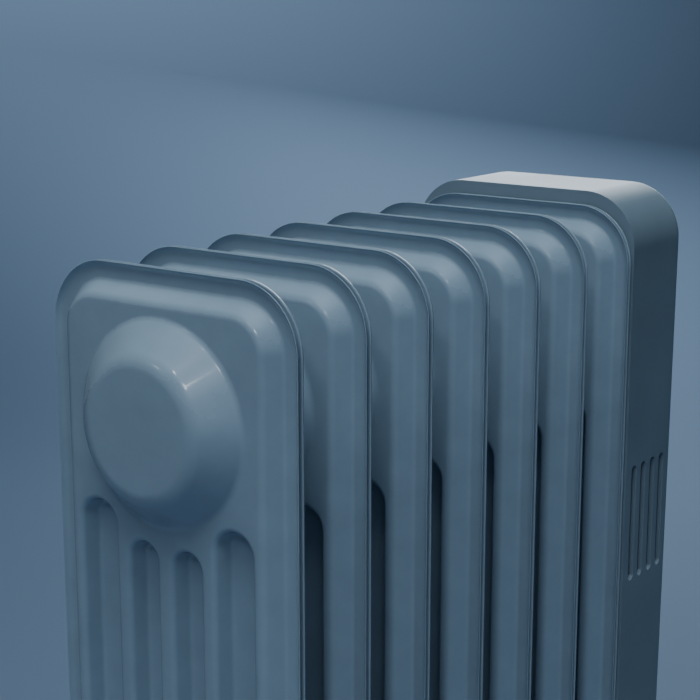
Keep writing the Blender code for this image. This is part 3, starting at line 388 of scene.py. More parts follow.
def channel_outline(x, width, drop, inset):
    radius = width / 2 - inset
    return (arc(x, FIN_HEIGHT - drop - width / 2, radius, 0, 180, 16)
            + arc(x, drop + width / 2, radius, 180, 360, 16))


def hub_outline(z, radius):
    return arc(0, z, radius, 0, 360, 72)[:-1]


def fin_half(name, hub_rise, open_hubs, curl):
    """One pressing, without its thickness: its hubs open or closed, its rim curled by the given height."""
    level = FIN_SHEET
    panel = level + PANEL_RISE
    bm = bmesh.new()
    edge = filleted(((RIM_INSET, level + curl), (RIM_CURL_WIDTH, level), (MARGIN_END, level),
                     (PANEL_START, panel), (PANEL_START + PANEL_RUN, panel)),
                    (2 * curl, STEP_BASE_FILLET, STEP_TOP_FILLET), 7)[:-1]
    rings = [level_ring(bm, fin_outline(inset), rise) for inset, rise in edge]
    bridge(bm, rings)
    flat = ring_edges(bm, rings[-1])
    for offset, width, drop in CHANNELS:
        profile = filleted(((-PANEL_RUN, panel), (0, panel), (CHANNEL_SLOPE, level), (width / 2, level)),
                           CHANNEL_FILLETS)[1:-1]
        for x in (-offset, offset):
            rings = [level_ring(bm, channel_outline(x, width, drop, inset), rise) for inset, rise in profile]
            bridge(bm, rings)
            bm.faces.new(rings[-1])
            flat += ring_edges(bm, rings[0])
    dome = filleted(((HUB_BASE + DOME_RUN, panel), (HUB_BASE, panel), (HUB_FACE, hub_rise), (0, hub_rise)),
                    (HUB_BASE_FILLET, HUB_FACE_FILLET), 9)[1:-1]
    for z in (HUB_FROM_END, FIN_HEIGHT - HUB_FROM_END):
        rings = [level_ring(bm, hub_outline(z, radius), rise) for radius, rise in dome]
        if open_hubs:
            rings.append(level_ring(bm, hub_outline(z, HUB_HOLE), hub_rise))
        else:
            bm.faces.new(rings[-1])
        bridge(bm, rings)
        flat += ring_edges(bm, rings[0])
    bmesh.ops.triangle_fill(bm, use_beauty=True, use_dissolve=False, edges=flat)
    bmesh.ops.recalc_face_normals(bm, faces=bm.faces)
    if max(bm.faces, key=lambda face: face.calc_area()).normal.y > 0:
        bmesh.ops.reverse_faces(bm, faces=bm.faces)
    mesh = bpy.data.meshes.new(name)
    bm.to_mesh(mesh)
    bm.free()
    mesh.shade_smooth()
    mesh.set_sharp_from_angle(angle=math.radians(40))
    return mesh


end_low, end_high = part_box("fin_1_front_half")
open_half = fin_half("open_fin_pressing", FIN_HUB_RISE, True, RIM_CURL_RISE)
rear_half = fin_half("rear_fin_pressing", FIN_HUB_RISE, True, REAR_CURL_RISE)
end_half = fin_half("closed_fin_pressing", end_high[1] - end_low[1], False, RIM_CURL_RISE)
print("fin half:", len(open_half.polygons), "faces before its thickness")

# %% Place the fourteen halves
FIN_COUNT = 7
for number in range(1, FIN_COUNT + 1):
    for side in ("front", "rear"):
        node_name = f"fin_{number}_{side}_half"
        low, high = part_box(node_name)
        mesh = rear_half if side == "rear" else end_half if number == 1 else open_half
        half = add_piece(f"fin_{number}_{side}_pressing", mesh, node_name, even_flats=False)
        seam = high[1] if side == "front" else low[1]
        turn = Matrix.Rotation(0 if side == "front" else math.pi, 4, "Z")
        half.matrix_world = Matrix.Translation((0, seam, low[2])) @ turn
        modifier(half, "SOLIDIFY", thickness=FIN_SHEET, offset=-1, use_even_offset=True, thickness_clamp=1)
print("fins placed:", FIN_COUNT)

# %% [markdown]
# ## Tools for solid pieces
# Moulded and machined pieces start as rounded boxes and turned profiles, and a Boolean cuts their openings. A
# narrow bevel comes last, because a real edge always catches a thin line of light.

# %% Helpers for solids
WELD_REACH = 0.01 * MM
FLUTED_RIM = 0.93                                            # flutes cut only what is wider than this share


def temporary(data):
    made = bpy.data.objects.new(data.name, data)
    bpy.context.scene.collection.objects.link(made)
    return made


def baked_mesh(target, name):
    """The mesh of an object with its modifiers applied; the object itself is removed."""
    graph = bpy.context.evaluated_depsgraph_get()
    mesh = bpy.data.meshes.new_from_object(target.evaluated_get(graph))
    mesh.name = name
    bpy.data.objects.remove(target)
    return mesh


def combine(name, mesh, others, operation="DIFFERENCE"):
    """A mesh cut by, or joined with, other meshes."""
    target = temporary(mesh)
    tools = [temporary(other) for other in others]
    for tool in tools:
        modifier(target, "BOOLEAN", operation=operation, object=tool, solver="EXACT")
    made = baked_mesh(target, name)
    for tool in tools:
        bpy.data.objects.remove(tool)
    return made


def eased(name, mesh, width, steps=2, sharp=35):
    """A mesh with every sharp edge bevelled by the given width."""
    target = temporary(mesh)
    modifier(target, "WELD", merge_threshold=WELD_REACH)
    modifier(target, "BEVEL", width=width, segments=steps, limit_method="ANGLE", angle_limit=math.radians(30),
             use_clamp_overlap=True)
    made = baked_mesh(target, name)
    made.shade_smooth()
    made.set_sharp_from_angle(angle=math.radians(sharp))
    return made


def box(size, centre=(0, 0, 0), radius=0.0, axis=1, steps=6):
    """A box whose four edges along one axis are rounded."""
    bm = bmesh.new()
    bmesh.ops.create_cube(bm, size=1, matrix=Matrix.Translation(centre) @ Matrix.Diagonal((*size, 1)))
    if radius:
        along = [edge for edge in bm.edges
                 if abs((edge.verts[0].co - edge.verts[1].co)[axis]) > size[axis] / 2]
        bmesh.ops.bevel(bm, geom=along, offset=radius, segments=steps, profile=0.5, affect="EDGES")
    return mesh_from("box", bm)


def lathe(profile, count=64, flutes=0, depth=0.0, axis="Y"):
    """A shape turned about an axis from pairs of radius and height, its rim fluted if asked."""
    widest = max(radius for radius, height in profile)
    bm = bmesh.new()
    rings = []
    for radius, height in profile:
        if radius == 0:
            rings.append([bm.verts.new((0, height, 0))])
            continue
        fluted = depth if flutes and radius > FLUTED_RIM * widest else 0
        ring = []
        for i in range(count):
            angle = 2 * math.pi * i / count
            reach = radius - fluted * (0.5 - 0.5 * math.cos(flutes * angle))
            ring.append(bm.verts.new((reach * math.cos(angle), height, reach * math.sin(angle))))
        rings.append(ring)
    for first, second in zip(rings, rings[1:]):
        for i in range(count):
            corners = [first[i % len(first)], first[(i + 1) % len(first)],
                       second[(i + 1) % len(second)], second[i % len(second)]]
            bm.faces.new(list(dict.fromkeys(corners)))
    turn = {"X": Matrix.Rotation(-math.pi / 2, 4, "Z"), "Y": Matrix.Identity(4),
            "Z": Matrix.Rotation(math.pi / 2, 4, "X")}[axis]
    bm.transform(turn)
    return mesh_from("lathe", bm)


def drill(radius, reach=20 * MM, count=32, axis="Y"):
    """A round cutter that reaches both ways from the origin."""
    return lathe(((0, reach), (radius, reach), (radius, -reach), (0, -reach)), count, axis=axis)


def tube(points, radius, count=16):
    """A round rod along a list of points, its ends capped."""
    curve = bpy.data.curves.new("tube", "CURVE")
    curve.dimensions = "3D"
    curve.bevel_depth = radius
    curve.bevel_resolution = count // 4
    curve.use_fill_caps = True
    line = curve.splines.new("POLY")
    line.points.add(len(points) - 1)
    for point, place in zip(line.points, points):
        point.co = (*place, 1)
    mesh = baked_mesh(temporary(curve), "tube")
    bm = bmesh.new()
    bm.from_mesh(mesh)
    bmesh.ops.remove_doubles(bm, verts=bm.verts, dist=WELD_REACH)
    return mesh_from("tube", bm)


def moved(mesh, matrix):
    mesh.transform(matrix)
    return mesh


def merged(name, meshes, sharp=35):
    """Several meshes as one, each keeping its own closed shape."""
    bm = bmesh.new()
    for mesh in meshes:
        bm.from_mesh(mesh)
    return mesh_from(name, bm, sharp)


print("solid helpers ready")

# %% [markdown]
# ## The control housing
# The cover is one injection moulding, open at the back, that leans a little so that it leaves its mould.
# Its top corners are as round as the fins' corners. A narrow flange around its open mouth stiffens it and
# hides the gap over the last fin. Upright slots in its sides let warm air out past the controls.

# %% Housing cover
HOUSING_WALL = 2.5 * MM
HOUSING_TOP_CORNER = 29 * MM
HOUSING_BASE_CORNER = 18 * MM
HOUSING_FRONT_EDGE = 7 * MM
VENT_COUNT = 4
VENT_WIDTH = 5.5 * MM
VENT_PITCH = 10.5 * MM
VENT_LENGTH = 65 * MM
VENT_START = 10 * MM
VENT_TOP_DROP = 140 * MM
VENT_BASE_RISE = 60 * MM
PANEL_OPENING = (92 * MM, 176 * MM, 12 * MM)
GRIP_OPENING = (84 * MM, 26 * MM, 9 * MM)
PANEL_DROP = 160 * MM
GRIP_DROP = 38 * MM
MOUTH_SHEET = 2.2 * MM
MOUTH_INSET = 1.2 * MM
MOUTH_SIDE = 7.6 * MM
MOUTH_TOP = 15 * MM
MOUTH_CUT = 5 * MM
GLAND_NECK = 6 * MM
SCREW_OFFSET = 44 * MM
SCREW_RISE = 34 * MM
SCREW_SHANK_HOLE = 2 * MM

housing_low, housing_high = (Vector(corner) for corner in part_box("housing_shell"))
last_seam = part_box("fin_7_rear_half")[0][1]
fin_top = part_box("fin_7_rear_half")[1][2]
outward = -Vector(joint_of["thermostat_turn"]["axis"])
TILT = math.atan2(-outward.z, outward.y)


def housing_front(z):
    """Where the cover's leaning front is at a height."""
    return housing_high.y - (housing_high.z - z) * math.tan(TILT)


def face_frame(z):
    """A frame on the leaning front at a height, its Y pointing straight out."""
    return Matrix.Translation((0, housing_front(z), z)) @ Matrix.Rotation(-TILT, 4, "X")


def round_bars(bm, edges, radius, steps):
    bmesh.ops.bevel(bm, geom=edges, offset=radius, segments=steps, profile=0.5, affect="EDGES",
                    clamp_overlap=True)


def upright_block(half_width, low, high, back, front, top_radius, base_radius):
    """A block between two depths, the front one a function of height, with rounded corners."""
    bm = bmesh.new()
    bmesh.ops.create_cube(bm, size=1)
    for vert in bm.verts:
        z = high if vert.co.z > 0 else low
        vert.co = (math.copysign(half_width, vert.co.x), back if vert.co.y < 0 else front(z), z)
    middle_z = (low + high) / 2
    for side, radius in ((1, top_radius), (-1, base_radius)):
        bars = [edge for edge in bm.edges
                if edge.verts[0].co.xz == edge.verts[1].co.xz and side * (edge.verts[0].co.z - middle_z) > 0]
        round_bars(bm, bars, radius, 14)
    return bm


half_width = housing_high.x
bm = upright_block(half_width, housing_low.z, housing_high.z, housing_low.y, housing_front,
                   HOUSING_TOP_CORNER, HOUSING_BASE_CORNER)
front_face = max(bm.faces, key=lambda face: face.calc_center_median().y)
round_bars(bm, list(front_face.edges), HOUSING_FRONT_EDGE, 7)
back_face = min(bm.faces, key=lambda face: face.calc_center_median().y)
bmesh.ops.delete(bm, geom=[back_face], context="FACES_ONLY")
cover = temporary(mesh_from("cover", bm))
modifier(cover, "SOLIDIFY", thickness=HOUSING_WALL, offset=-1, use_even_offset=True)
cover_mesh = baked_mesh(cover, "cover")


def mouth_block(inset, drop, cut):
    """A slab at the cover's mouth, inset from its sides and base, dropped from its top."""
    return mesh_from("mouth", upright_block(half_width - inset, housing_low.z + inset, housing_high.z - drop,
                                            housing_low.y - cut, lambda z: housing_low.y + MOUTH_SHEET + cut,
                                            HOUSING_TOP_CORNER - inset, HOUSING_BASE_CORNER - inset))


flange = combine("mouth", mouth_block(MOUTH_INSET, MOUTH_INSET, 0),
                 [mouth_block(MOUTH_SIDE, MOUTH_TOP, MOUTH_CUT)])
cover_mesh = combine("cover", cover_mesh, [flange], "UNION")
cutters = []
for low in (fin_top - VENT_TOP_DROP - VENT_LENGTH, housing_low.z + VENT_BASE_RISE):
    for i in range(VENT_COUNT):
        y = last_seam + VENT_START + VENT_WIDTH / 2 + i * VENT_PITCH
        cutters.append(box((3 * half_width, VENT_WIDTH, VENT_LENGTH), (0, y, low + VENT_LENGTH / 2),
                           0.98 * VENT_WIDTH / 2, 0, 8))
for (width, height, radius), drop in ((PANEL_OPENING, PANEL_DROP), (GRIP_OPENING, GRIP_DROP)):
    cutters.append(moved(box((width, 6 * HOUSING_WALL, height), (0, 0, 0), radius, 1, 10),
                         face_frame(housing_high.z - drop)))
gland_low, gland_high = (Vector(corner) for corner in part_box("cord_inlet_gland"))
gland_place = Vector(((gland_low.x + gland_high.x) / 2, (gland_low.y + gland_high.y) / 2, housing_low.z))
cutters.append(moved(drill(GLAND_NECK, count=40, axis="Z"), Matrix.Translation(gland_place)))
screw_frame = face_frame(housing_low.z + SCREW_RISE)
for x in (-SCREW_OFFSET, SCREW_OFFSET):
    cutters.append(moved(drill(SCREW_SHANK_HOLE, count=24), screw_frame @ Matrix.Translation((x, 0, 0))))
cover_mesh = combine("housing_cover", cover_mesh, cutters)
add_piece("housing_cover", eased("housing_cover", cover_mesh, 0.5 * MM), "housing_shell")
print("housing cover:", len(cover_mesh.polygons), "faces before its edges were eased")

# %% [markdown]
# ## Control panel, knob and switches
# The panel is a darker moulding let into the cover. A real knob is moulded with a fluted skirt and a bar to
# grip, and a white line on the bar points at a printed scale. The marks are thin raised print, so they stay
# sharp at any size.

# %% Panel plate and scale
PANEL_PROUD = 1.2 * MM
PANEL_SHEET = 2.5 * MM
KNOB_RISE = 46 * MM
SHAFT_HOLE = 3.5 * MM
GAP = 0.3 * MM
RUNNING_GAP = 0.5 * MM
SWITCH_OFFSET = 18 * MM
SWITCH_DROP = 20 * MM
SWITCH_SIZE = (15 * MM, 24 * MM)
LAMP_DROP = 62 * MM
LAMP_RADIUS = 4 * MM
PRINT_RISE = 0.12 * MM
panel_frame = face_frame(housing_high.z - PANEL_DROP)
plate = box((PANEL_OPENING[0] - 2 * GAP, PANEL_SHEET, PANEL_OPENING[1] - 2 * GAP),
            (0, PANEL_PROUD - PANEL_SHEET / 2, 0), PANEL_OPENING[2] - GAP, 1, 10)
plate_cutters = [moved(drill(radius, 10 * MM), Matrix.Translation((0, 0, z)))
                 for radius, z in ((SHAFT_HOLE, KNOB_RISE), (LAMP_RADIUS + GAP, -LAMP_DROP))]
plate_cutters += [box((SWITCH_SIZE[0], 20 * MM, SWITCH_SIZE[1]), (x, 0, -SWITCH_DROP))
                  for x in (-SWITCH_OFFSET, SWITCH_OFFSET)]
plate_mesh = eased("control_panel_plate", combine("plate", plate, plate_cutters), 0.4 * MM)
add_piece("control_panel_plate", moved(plate_mesh, panel_frame), "control_panel")

print_skin = patchy_finish("white_pad_print", ((0.3, "D5DADC"), (0.7, "E6EAEC")), (0.45, 0.6),
                           (3 * MM, 3.0, 0.5))
TICK_COUNT = 11
SWEEP_ANGLE = 270
TICK_RADIUS = 26.5 * MM
TICK_WIDTH = 0.8 * MM
LONG_TICK = 4.2 * MM
SHORT_TICK = 2.4 * MM
DIGIT_COUNT = 6
DIGIT_RADIUS = 34 * MM
DIGIT_SIZE = 6.5 * MM


def on_dial(step, steps, radius):
    """The angle and the place on the panel of a step on the scale, which runs clockwise from the top."""
    angle = math.radians(90 + SWEEP_ANGLE * step / (steps - 1))
    return angle, radius * math.cos(angle), KNOB_RISE + radius * math.sin(angle)


marks = []
for i in range(TICK_COUNT):
    angle, x, z = on_dial(i, TICK_COUNT, TICK_RADIUS)
    tick = box((SHORT_TICK if i % 2 else LONG_TICK, PRINT_RISE, TICK_WIDTH),
               (0, PANEL_PROUD + PRINT_RISE / 2, 0))
    marks.append(moved(tick, Matrix.Translation((x, 0, z)) @ Matrix.Rotation(-angle, 4, "Y")))


def digit(text, x, z, size):
    """A number as thin print on the panel's face, read from in front."""
    curve = bpy.data.curves.new("digit", "FONT")
    curve.body = text
    curve.size = size
    curve.align_x = "CENTER"
    curve.align_y = "CENTER"
    curve.extrude = PRINT_RISE / 2
    mesh = baked_mesh(temporary(curve), "digit")
    upright = Matrix.Rotation(math.pi, 4, "Z") @ Matrix.Rotation(math.pi / 2, 4, "X")
    return moved(mesh, Matrix.Translation((x, PANEL_PROUD + PRINT_RISE / 2, z)) @ upright)


for value in range(DIGIT_COUNT):
    angle, x, z = on_dial(value, DIGIT_COUNT, DIGIT_RADIUS)
    marks.append(digit(str(value), x, z, DIGIT_SIZE))
for x, text in ((SWITCH_OFFSET, "1"), (-SWITCH_OFFSET, "2")):
    marks.append(digit(text, x, -SWITCH_DROP - SWITCH_SIZE[1] / 2 - 6 * MM, 6 * MM))
add_piece("printed_scale", moved(merged("printed_scale", marks), panel_frame), "control_panel", print_skin,
          replaces=False)
print("scale marks:", len(marks))

# %% Thermostat knob
KNOB_RADIUS = 22 * MM
KNOB_DEPTH = 17 * MM
BAR_DEPTH = 7 * MM
BAR_WIDTH = 9 * MM
BAR_LENGTH = 38 * MM
BAR_SINK = 2 * MM                                            # how far the bar reaches into the skirt
FLUTES = 32
FLUTE_DEPTH = 0.9 * MM
SOCKET_RADIUS = 3.3 * MM
SOCKET_ROOF = 2.7 * MM
knob_frame = panel_frame @ Matrix.Translation((0, PANEL_PROUD + RUNNING_GAP, KNOB_RISE))
skirt_top = KNOB_DEPTH - BAR_DEPTH
skirt = [(0, 0), (KNOB_RADIUS - 0.6 * MM, 0), (KNOB_RADIUS, 0.6 * MM), (KNOB_RADIUS, skirt_top - 3 * MM),
         (KNOB_RADIUS - 0.7 * MM, skirt_top - 1.4 * MM), (KNOB_RADIUS - 2.4 * MM, skirt_top - 0.4 * MM),
         (KNOB_RADIUS - 4 * MM, skirt_top), (KNOB_RADIUS - 5 * MM, skirt_top - 0.5 * MM),
         (0, skirt_top - 0.9 * MM)]
skirt_mesh = lathe(skirt, 6 * FLUTES, FLUTES, FLUTE_DEPTH)
bar = box((BAR_WIDTH, BAR_DEPTH + BAR_SINK, BAR_LENGTH), (0, KNOB_DEPTH - (BAR_DEPTH + BAR_SINK) / 2, 0),
          4.2 * MM, 1, 8)
for vert in bar.vertices:
    share = (vert.co.y - skirt_top) / BAR_DEPTH
    vert.co.x *= 1 - 0.22 * max(0, share)
    vert.co.z *= 1 - 0.05 * max(0, share)
socket_end = KNOB_DEPTH - SOCKET_ROOF
socket = lathe(((0, -10 * MM), (SOCKET_RADIUS, -10 * MM), (SOCKET_RADIUS, socket_end), (0, socket_end)), 32)
knob_mesh = combine("knob", combine("knob", skirt_mesh, [eased("bar", bar, 0.9 * MM, 3)], "UNION"), [socket])
knob_mesh.shade_smooth()
knob_mesh.set_sharp_from_angle(angle=math.radians(32))
add_piece("fluted_knob", moved(knob_mesh, knob_frame), "thermostat_knob")
pointer = box((1.1 * MM, 0.3 * MM, 12 * MM), (0, KNOB_DEPTH + 0.02 * MM, 10.5 * MM), 0.5 * MM, 1, 4)
add_piece("pointer_line", moved(pointer, knob_frame), "thermostat_knob", print_skin, replaces=False)

# %% Rocker switches and lamp
RIM = 1.6 * MM
RIM_SHEET = 1 * MM
CORE_DEPTH = 16 * MM
ROCKER_TRAVEL = math.radians(14)
ROCKER_HINGE_DEPTH = 2 * MM
ROCKER_REACH = 4.6 * MM
POCKET_DEPTH = 9 * MM
rim_back = PANEL_PROUD + GAP
rim_front = rim_back + RIM_SHEET
for name, x in (("power_switch", -SWITCH_OFFSET), ("heat_switch", SWITCH_OFFSET)):
    place = panel_frame @ Matrix.Translation((x, 0, -SWITCH_DROP))
    bezel = box((SWITCH_SIZE[0] + 2 * RIM, RIM_SHEET, SWITCH_SIZE[1] + 2 * RIM),
                (0, (rim_back + rim_front) / 2, 0), 1.2 * MM, 1, 4)
    core = box((SWITCH_SIZE[0] - 2 * GAP, CORE_DEPTH, SWITCH_SIZE[1] - 2 * GAP),
               (0, rim_front - RIM_SHEET / 2 - CORE_DEPTH / 2, 0))
    pocket = box((SWITCH_SIZE[0] - 2 * RIM, 2 * POCKET_DEPTH, SWITCH_SIZE[1] - 2 * RIM), (0, rim_front, 0))
    body = combine("switch_body", combine("switch_body", bezel, [core], "UNION"), [pocket])
    add_piece(f"{name}_bezel", moved(eased(f"{name}_bezel", body, 0.25 * MM), place), f"{name}_body")
    half_x = SWITCH_SIZE[0] / 2 - RIM - RUNNING_GAP
    half_z = SWITCH_SIZE[1] / 2 - RIM - 2 * RUNNING_GAP
    dip = half_z * math.tan(ROCKER_TRAVEL / 2)
    hollow = [(half_z * (1 - i / 8), ROCKER_REACH - dip * math.sin(math.pi * i / 16)) for i in range(17)]
    outline = [(-half_z, -1 * MM)] + hollow[::-1] + [(half_z, -1 * MM), (0, -3 * MM)]
    bm = bmesh.new()
    side = bm.faces.new([bm.verts.new((-half_x, y, z)) for z, y in outline])
    grown = bmesh.ops.extrude_face_region(bm, geom=[side])["geom"]
    bmesh.ops.translate(bm, vec=(2 * half_x, 0, 0),
                        verts=[item for item in grown if isinstance(item, bmesh.types.BMVert)])
    rocker = eased(f"{name}_rocker_cap", mesh_from("rocker", bm), 0.45 * MM, 3)
    hinge = place @ Matrix.Translation((0, rim_front - ROCKER_HINGE_DEPTH, 0))
    add_piece(f"{name}_rocker_cap", moved(rocker, hinge @ Matrix.Rotation(ROCKER_TRAVEL / 2, 4, "X")),
              f"{name}_rocker")

lamp_profile = [(0, 2 * MM), (1.4 * MM, 1.9 * MM), (2.8 * MM, 1.45 * MM), (3.6 * MM, 0.8 * MM),
                (LAMP_RADIUS, 0), (LAMP_RADIUS, -9 * MM), (0, -9 * MM)]
lamp_frame = panel_frame @ Matrix.Translation((0, PANEL_PROUD, -LAMP_DROP))
add_piece("lamp_lens", moved(lathe(lamp_profile, 48), lamp_frame), "indicator_lamp")

# %% Hand grip and screws
grip_frame = face_frame(housing_high.z - GRIP_DROP)
GRIP_DEPTH = 24 * MM
GRIP_WALL = 2 * MM
width, height, radius = GRIP_OPENING
cup = box((width - 2 * GAP, GRIP_DEPTH, height - 2 * GAP), (0, PANEL_PROUD - GRIP_DEPTH / 2, 0),
          radius - GAP, 1, 10)
hollow = box((width - 2 * GRIP_WALL, GRIP_DEPTH, height - 2 * GRIP_WALL),
             (0, PANEL_PROUD - GRIP_DEPTH / 2 + GRIP_WALL, 0), radius - GRIP_WALL, 1, 10)
add_piece("grip_cup", moved(eased("grip_cup", combine("cup", cup, [hollow]), 0.7 * MM, 3), grip_frame),
          "hand_grip_cup")
for side, x in (("left", -SCREW_OFFSET), ("right", SCREW_OFFSET)):
    length = housing_front(housing_low.z + SCREW_RISE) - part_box("housing_back_plate")[0][1]
    head = [(0, 2.5 * MM), (1.4 * MM, 2.42 * MM), (2.6 * MM, 2.1 * MM), (3.5 * MM, 1.4 * MM),
            (4 * MM, 0.5 * MM), (4 * MM, GAP), (1.7 * MM, GAP), (1.7 * MM, -length), (0, -length)]
    crosses = [box((across, 3 * MM, along), (0, 2.6 * MM, 0))
               for across, along in ((4.6 * MM, 0.9 * MM), (0.9 * MM, 4.6 * MM))]
    screw = combine(f"cross_head_screw_{side}", lathe(head, 40), crosses)
    screw.set_sharp_from_angle(angle=math.radians(35))
    add_piece(f"cross_head_screw_{side}", moved(screw, screw_frame @ Matrix.Translation((x, 0, 0))),
              f"housing_screw_{side}")
print("controls placed")

# %% [markdown]
# ## Feet and casters
# Each foot is a pressed steel channel that two hubs rest over. A bent rod hooks over the hubs and two wing
# nuts pull it down, so the feet come off for packing. The casters are nylon forks with a steel axle and a
# wheel.

# %% Foot bars, clamp rods and wing nuts
FOOT_SHEET = 2 * MM
FOOT_CORNER = 16 * MM
FOOT_EDGE = 3 * MM
STEM_HOLE = 4.5 * MM
ROD_RADIUS = 3 * MM
THREAD_PITCH = 1 * MM
THREAD_DEPTH = 0.35 * MM
THREAD_LENGTH = 14 * MM
NUT_RADIUS = 7 * MM
NUT_HEIGHT = 6 * MM
NUT_WING = 12 * MM
hub_z = fin_low[2] + HUB_FROM_END


def threaded_end(top, length):
    """The lower end of a rod, its thread cut as rings a pitch apart, hanging from a point."""
    profile = [(0, 0), (ROD_RADIUS, 0)]
    for i in range(int(length / THREAD_PITCH)):
        profile += [(ROD_RADIUS - THREAD_DEPTH, -(i + 0.5) * THREAD_PITCH),
                    (ROD_RADIUS, -(i + 1) * THREAD_PITCH)]
    profile += [(ROD_RADIUS - 0.6 * MM, -length), (0, -length)]
    return moved(lathe(profile, 20, axis="Z"), Matrix.Translation(top))


for end in ("front", "rear"):
    low, high = (Vector(corner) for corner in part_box(f"{end}_foot_bar"))
    y = (low.y + high.y) / 2
    bm = bmesh.new()
    bmesh.ops.create_cube(bm, size=1, matrix=Matrix.Translation((0, y, (low.z + high.z) / 2))
                          @ Matrix.Diagonal((*(high - low), 1)))
    round_bars(bm, [edge for edge in bm.edges if abs(edge.verts[0].co.z - edge.verts[1].co.z) > 0.001],
               FOOT_CORNER, 12)
    top_face = max(bm.faces, key=lambda face: face.calc_center_median().z)
    round_bars(bm, list(top_face.edges), FOOT_EDGE, 5)
    under = min(bm.faces, key=lambda face: face.calc_center_median().z)
    bmesh.ops.delete(bm, geom=[under], context="FACES_ONLY")
    channel = temporary(mesh_from("channel", bm))
    modifier(channel, "SOLIDIFY", thickness=FOOT_SHEET, offset=-1, use_even_offset=True)
    rod_low, rod_high = (Vector(corner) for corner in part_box(f"{end}_clamp_rod"))
    rod_seat = rod_high.x - ROD_RADIUS
    stem_x = abs(centre_of("caster_1_fork").x)
    holes = [moved(drill(hole, axis="Z"), Matrix.Translation((x * side, y, high.z)))
             for x, hole in ((rod_seat, ROD_RADIUS + GAP), (stem_x, STEM_HOLE)) for side in (-1, 1)]
    bar_mesh = combine("foot", baked_mesh(channel, "channel"), holes)
    add_piece(f"{end}_foot_channel", eased(f"{end}_foot_channel", bar_mesh, 0.35 * MM), f"{end}_foot_bar")
    straight = rod_low.z + THREAD_LENGTH
    hoop = [(x, y, z) for x, z in arc(0, hub_z, rod_seat, 0, 180, 32)]
    rod = tube([(rod_seat, y, straight), *hoop, (-rod_seat, y, straight)], ROD_RADIUS, 24)
    ends = [threaded_end((x, y, straight), THREAD_LENGTH) for x in (rod_seat, -rod_seat)]
    add_piece(f"{end}_clamp_hoop", merged(f"{end}_clamp_hoop", [rod, *ends]), f"{end}_clamp_rod")
    for side, x in (("left", -rod_seat), ("right", rod_seat)):
        name = f"{end}_wing_nut_{side}"
        body = lathe(((0, 0), (NUT_RADIUS - 0.5 * MM, 0), (NUT_RADIUS, -0.5 * MM),
                      (0.8 * NUT_RADIUS, -NUT_HEIGHT), (0, -NUT_HEIGHT)), 40, axis="Z")
        wings = [box((7 * MM, 2 * MM, NUT_HEIGHT), (side_x * (NUT_WING - 3.5 * MM), 0, -0.75 * NUT_HEIGHT),
                     2.6 * MM, 1, 6) for side_x in (-1, 1)]
        nut = combine("nut", combine("nut", body, wings, "UNION"), [drill(ROD_RADIUS + GAP, axis="Z")])
        nut = eased(f"{name}_cast", nut, 0.4 * MM)
        add_piece(f"{name}_cast", moved(nut, Matrix.Translation((x, y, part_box(name)[1][2]))), name)
print("feet placed, hub height", round(hub_z, 4))

# %% Casters
WHEEL_RADIUS = 20 * MM
WHEEL_WIDTH = 15 * MM
FORK_WALL = 2.5 * MM
FORK_SIDE_GAP = 1 * MM
AXLE_RADIUS = 3 * MM
AXLE_HOLE = 3.1 * MM
CASTER_TRAIL = 13 * MM
HOOD_BASE = WHEEL_RADIUS - 7 * MM
CROWN = 48 * MM
FORK_SLOT_TOP = 44 * MM
half = WHEEL_WIDTH / 2
inside = half + FORK_SIDE_GAP
outside = inside + FORK_WALL
tread = [(3.6 * MM, half), (7 * MM, half), (7.6 * MM, half - 0.6 * MM), (8 * MM, half - 3 * MM),
         (14.5 * MM, half - 3 * MM), (15.2 * MM, half - 0.8 * MM), (16 * MM, half - 0.2 * MM),
         (18 * MM, half - 0.2 * MM), (19.3 * MM, half - 1 * MM), (WHEEL_RADIUS, half - 2.6 * MM)]
wheel_profile = tread + [(radius, -height) for radius, height in reversed(tread)] + [tread[0]]
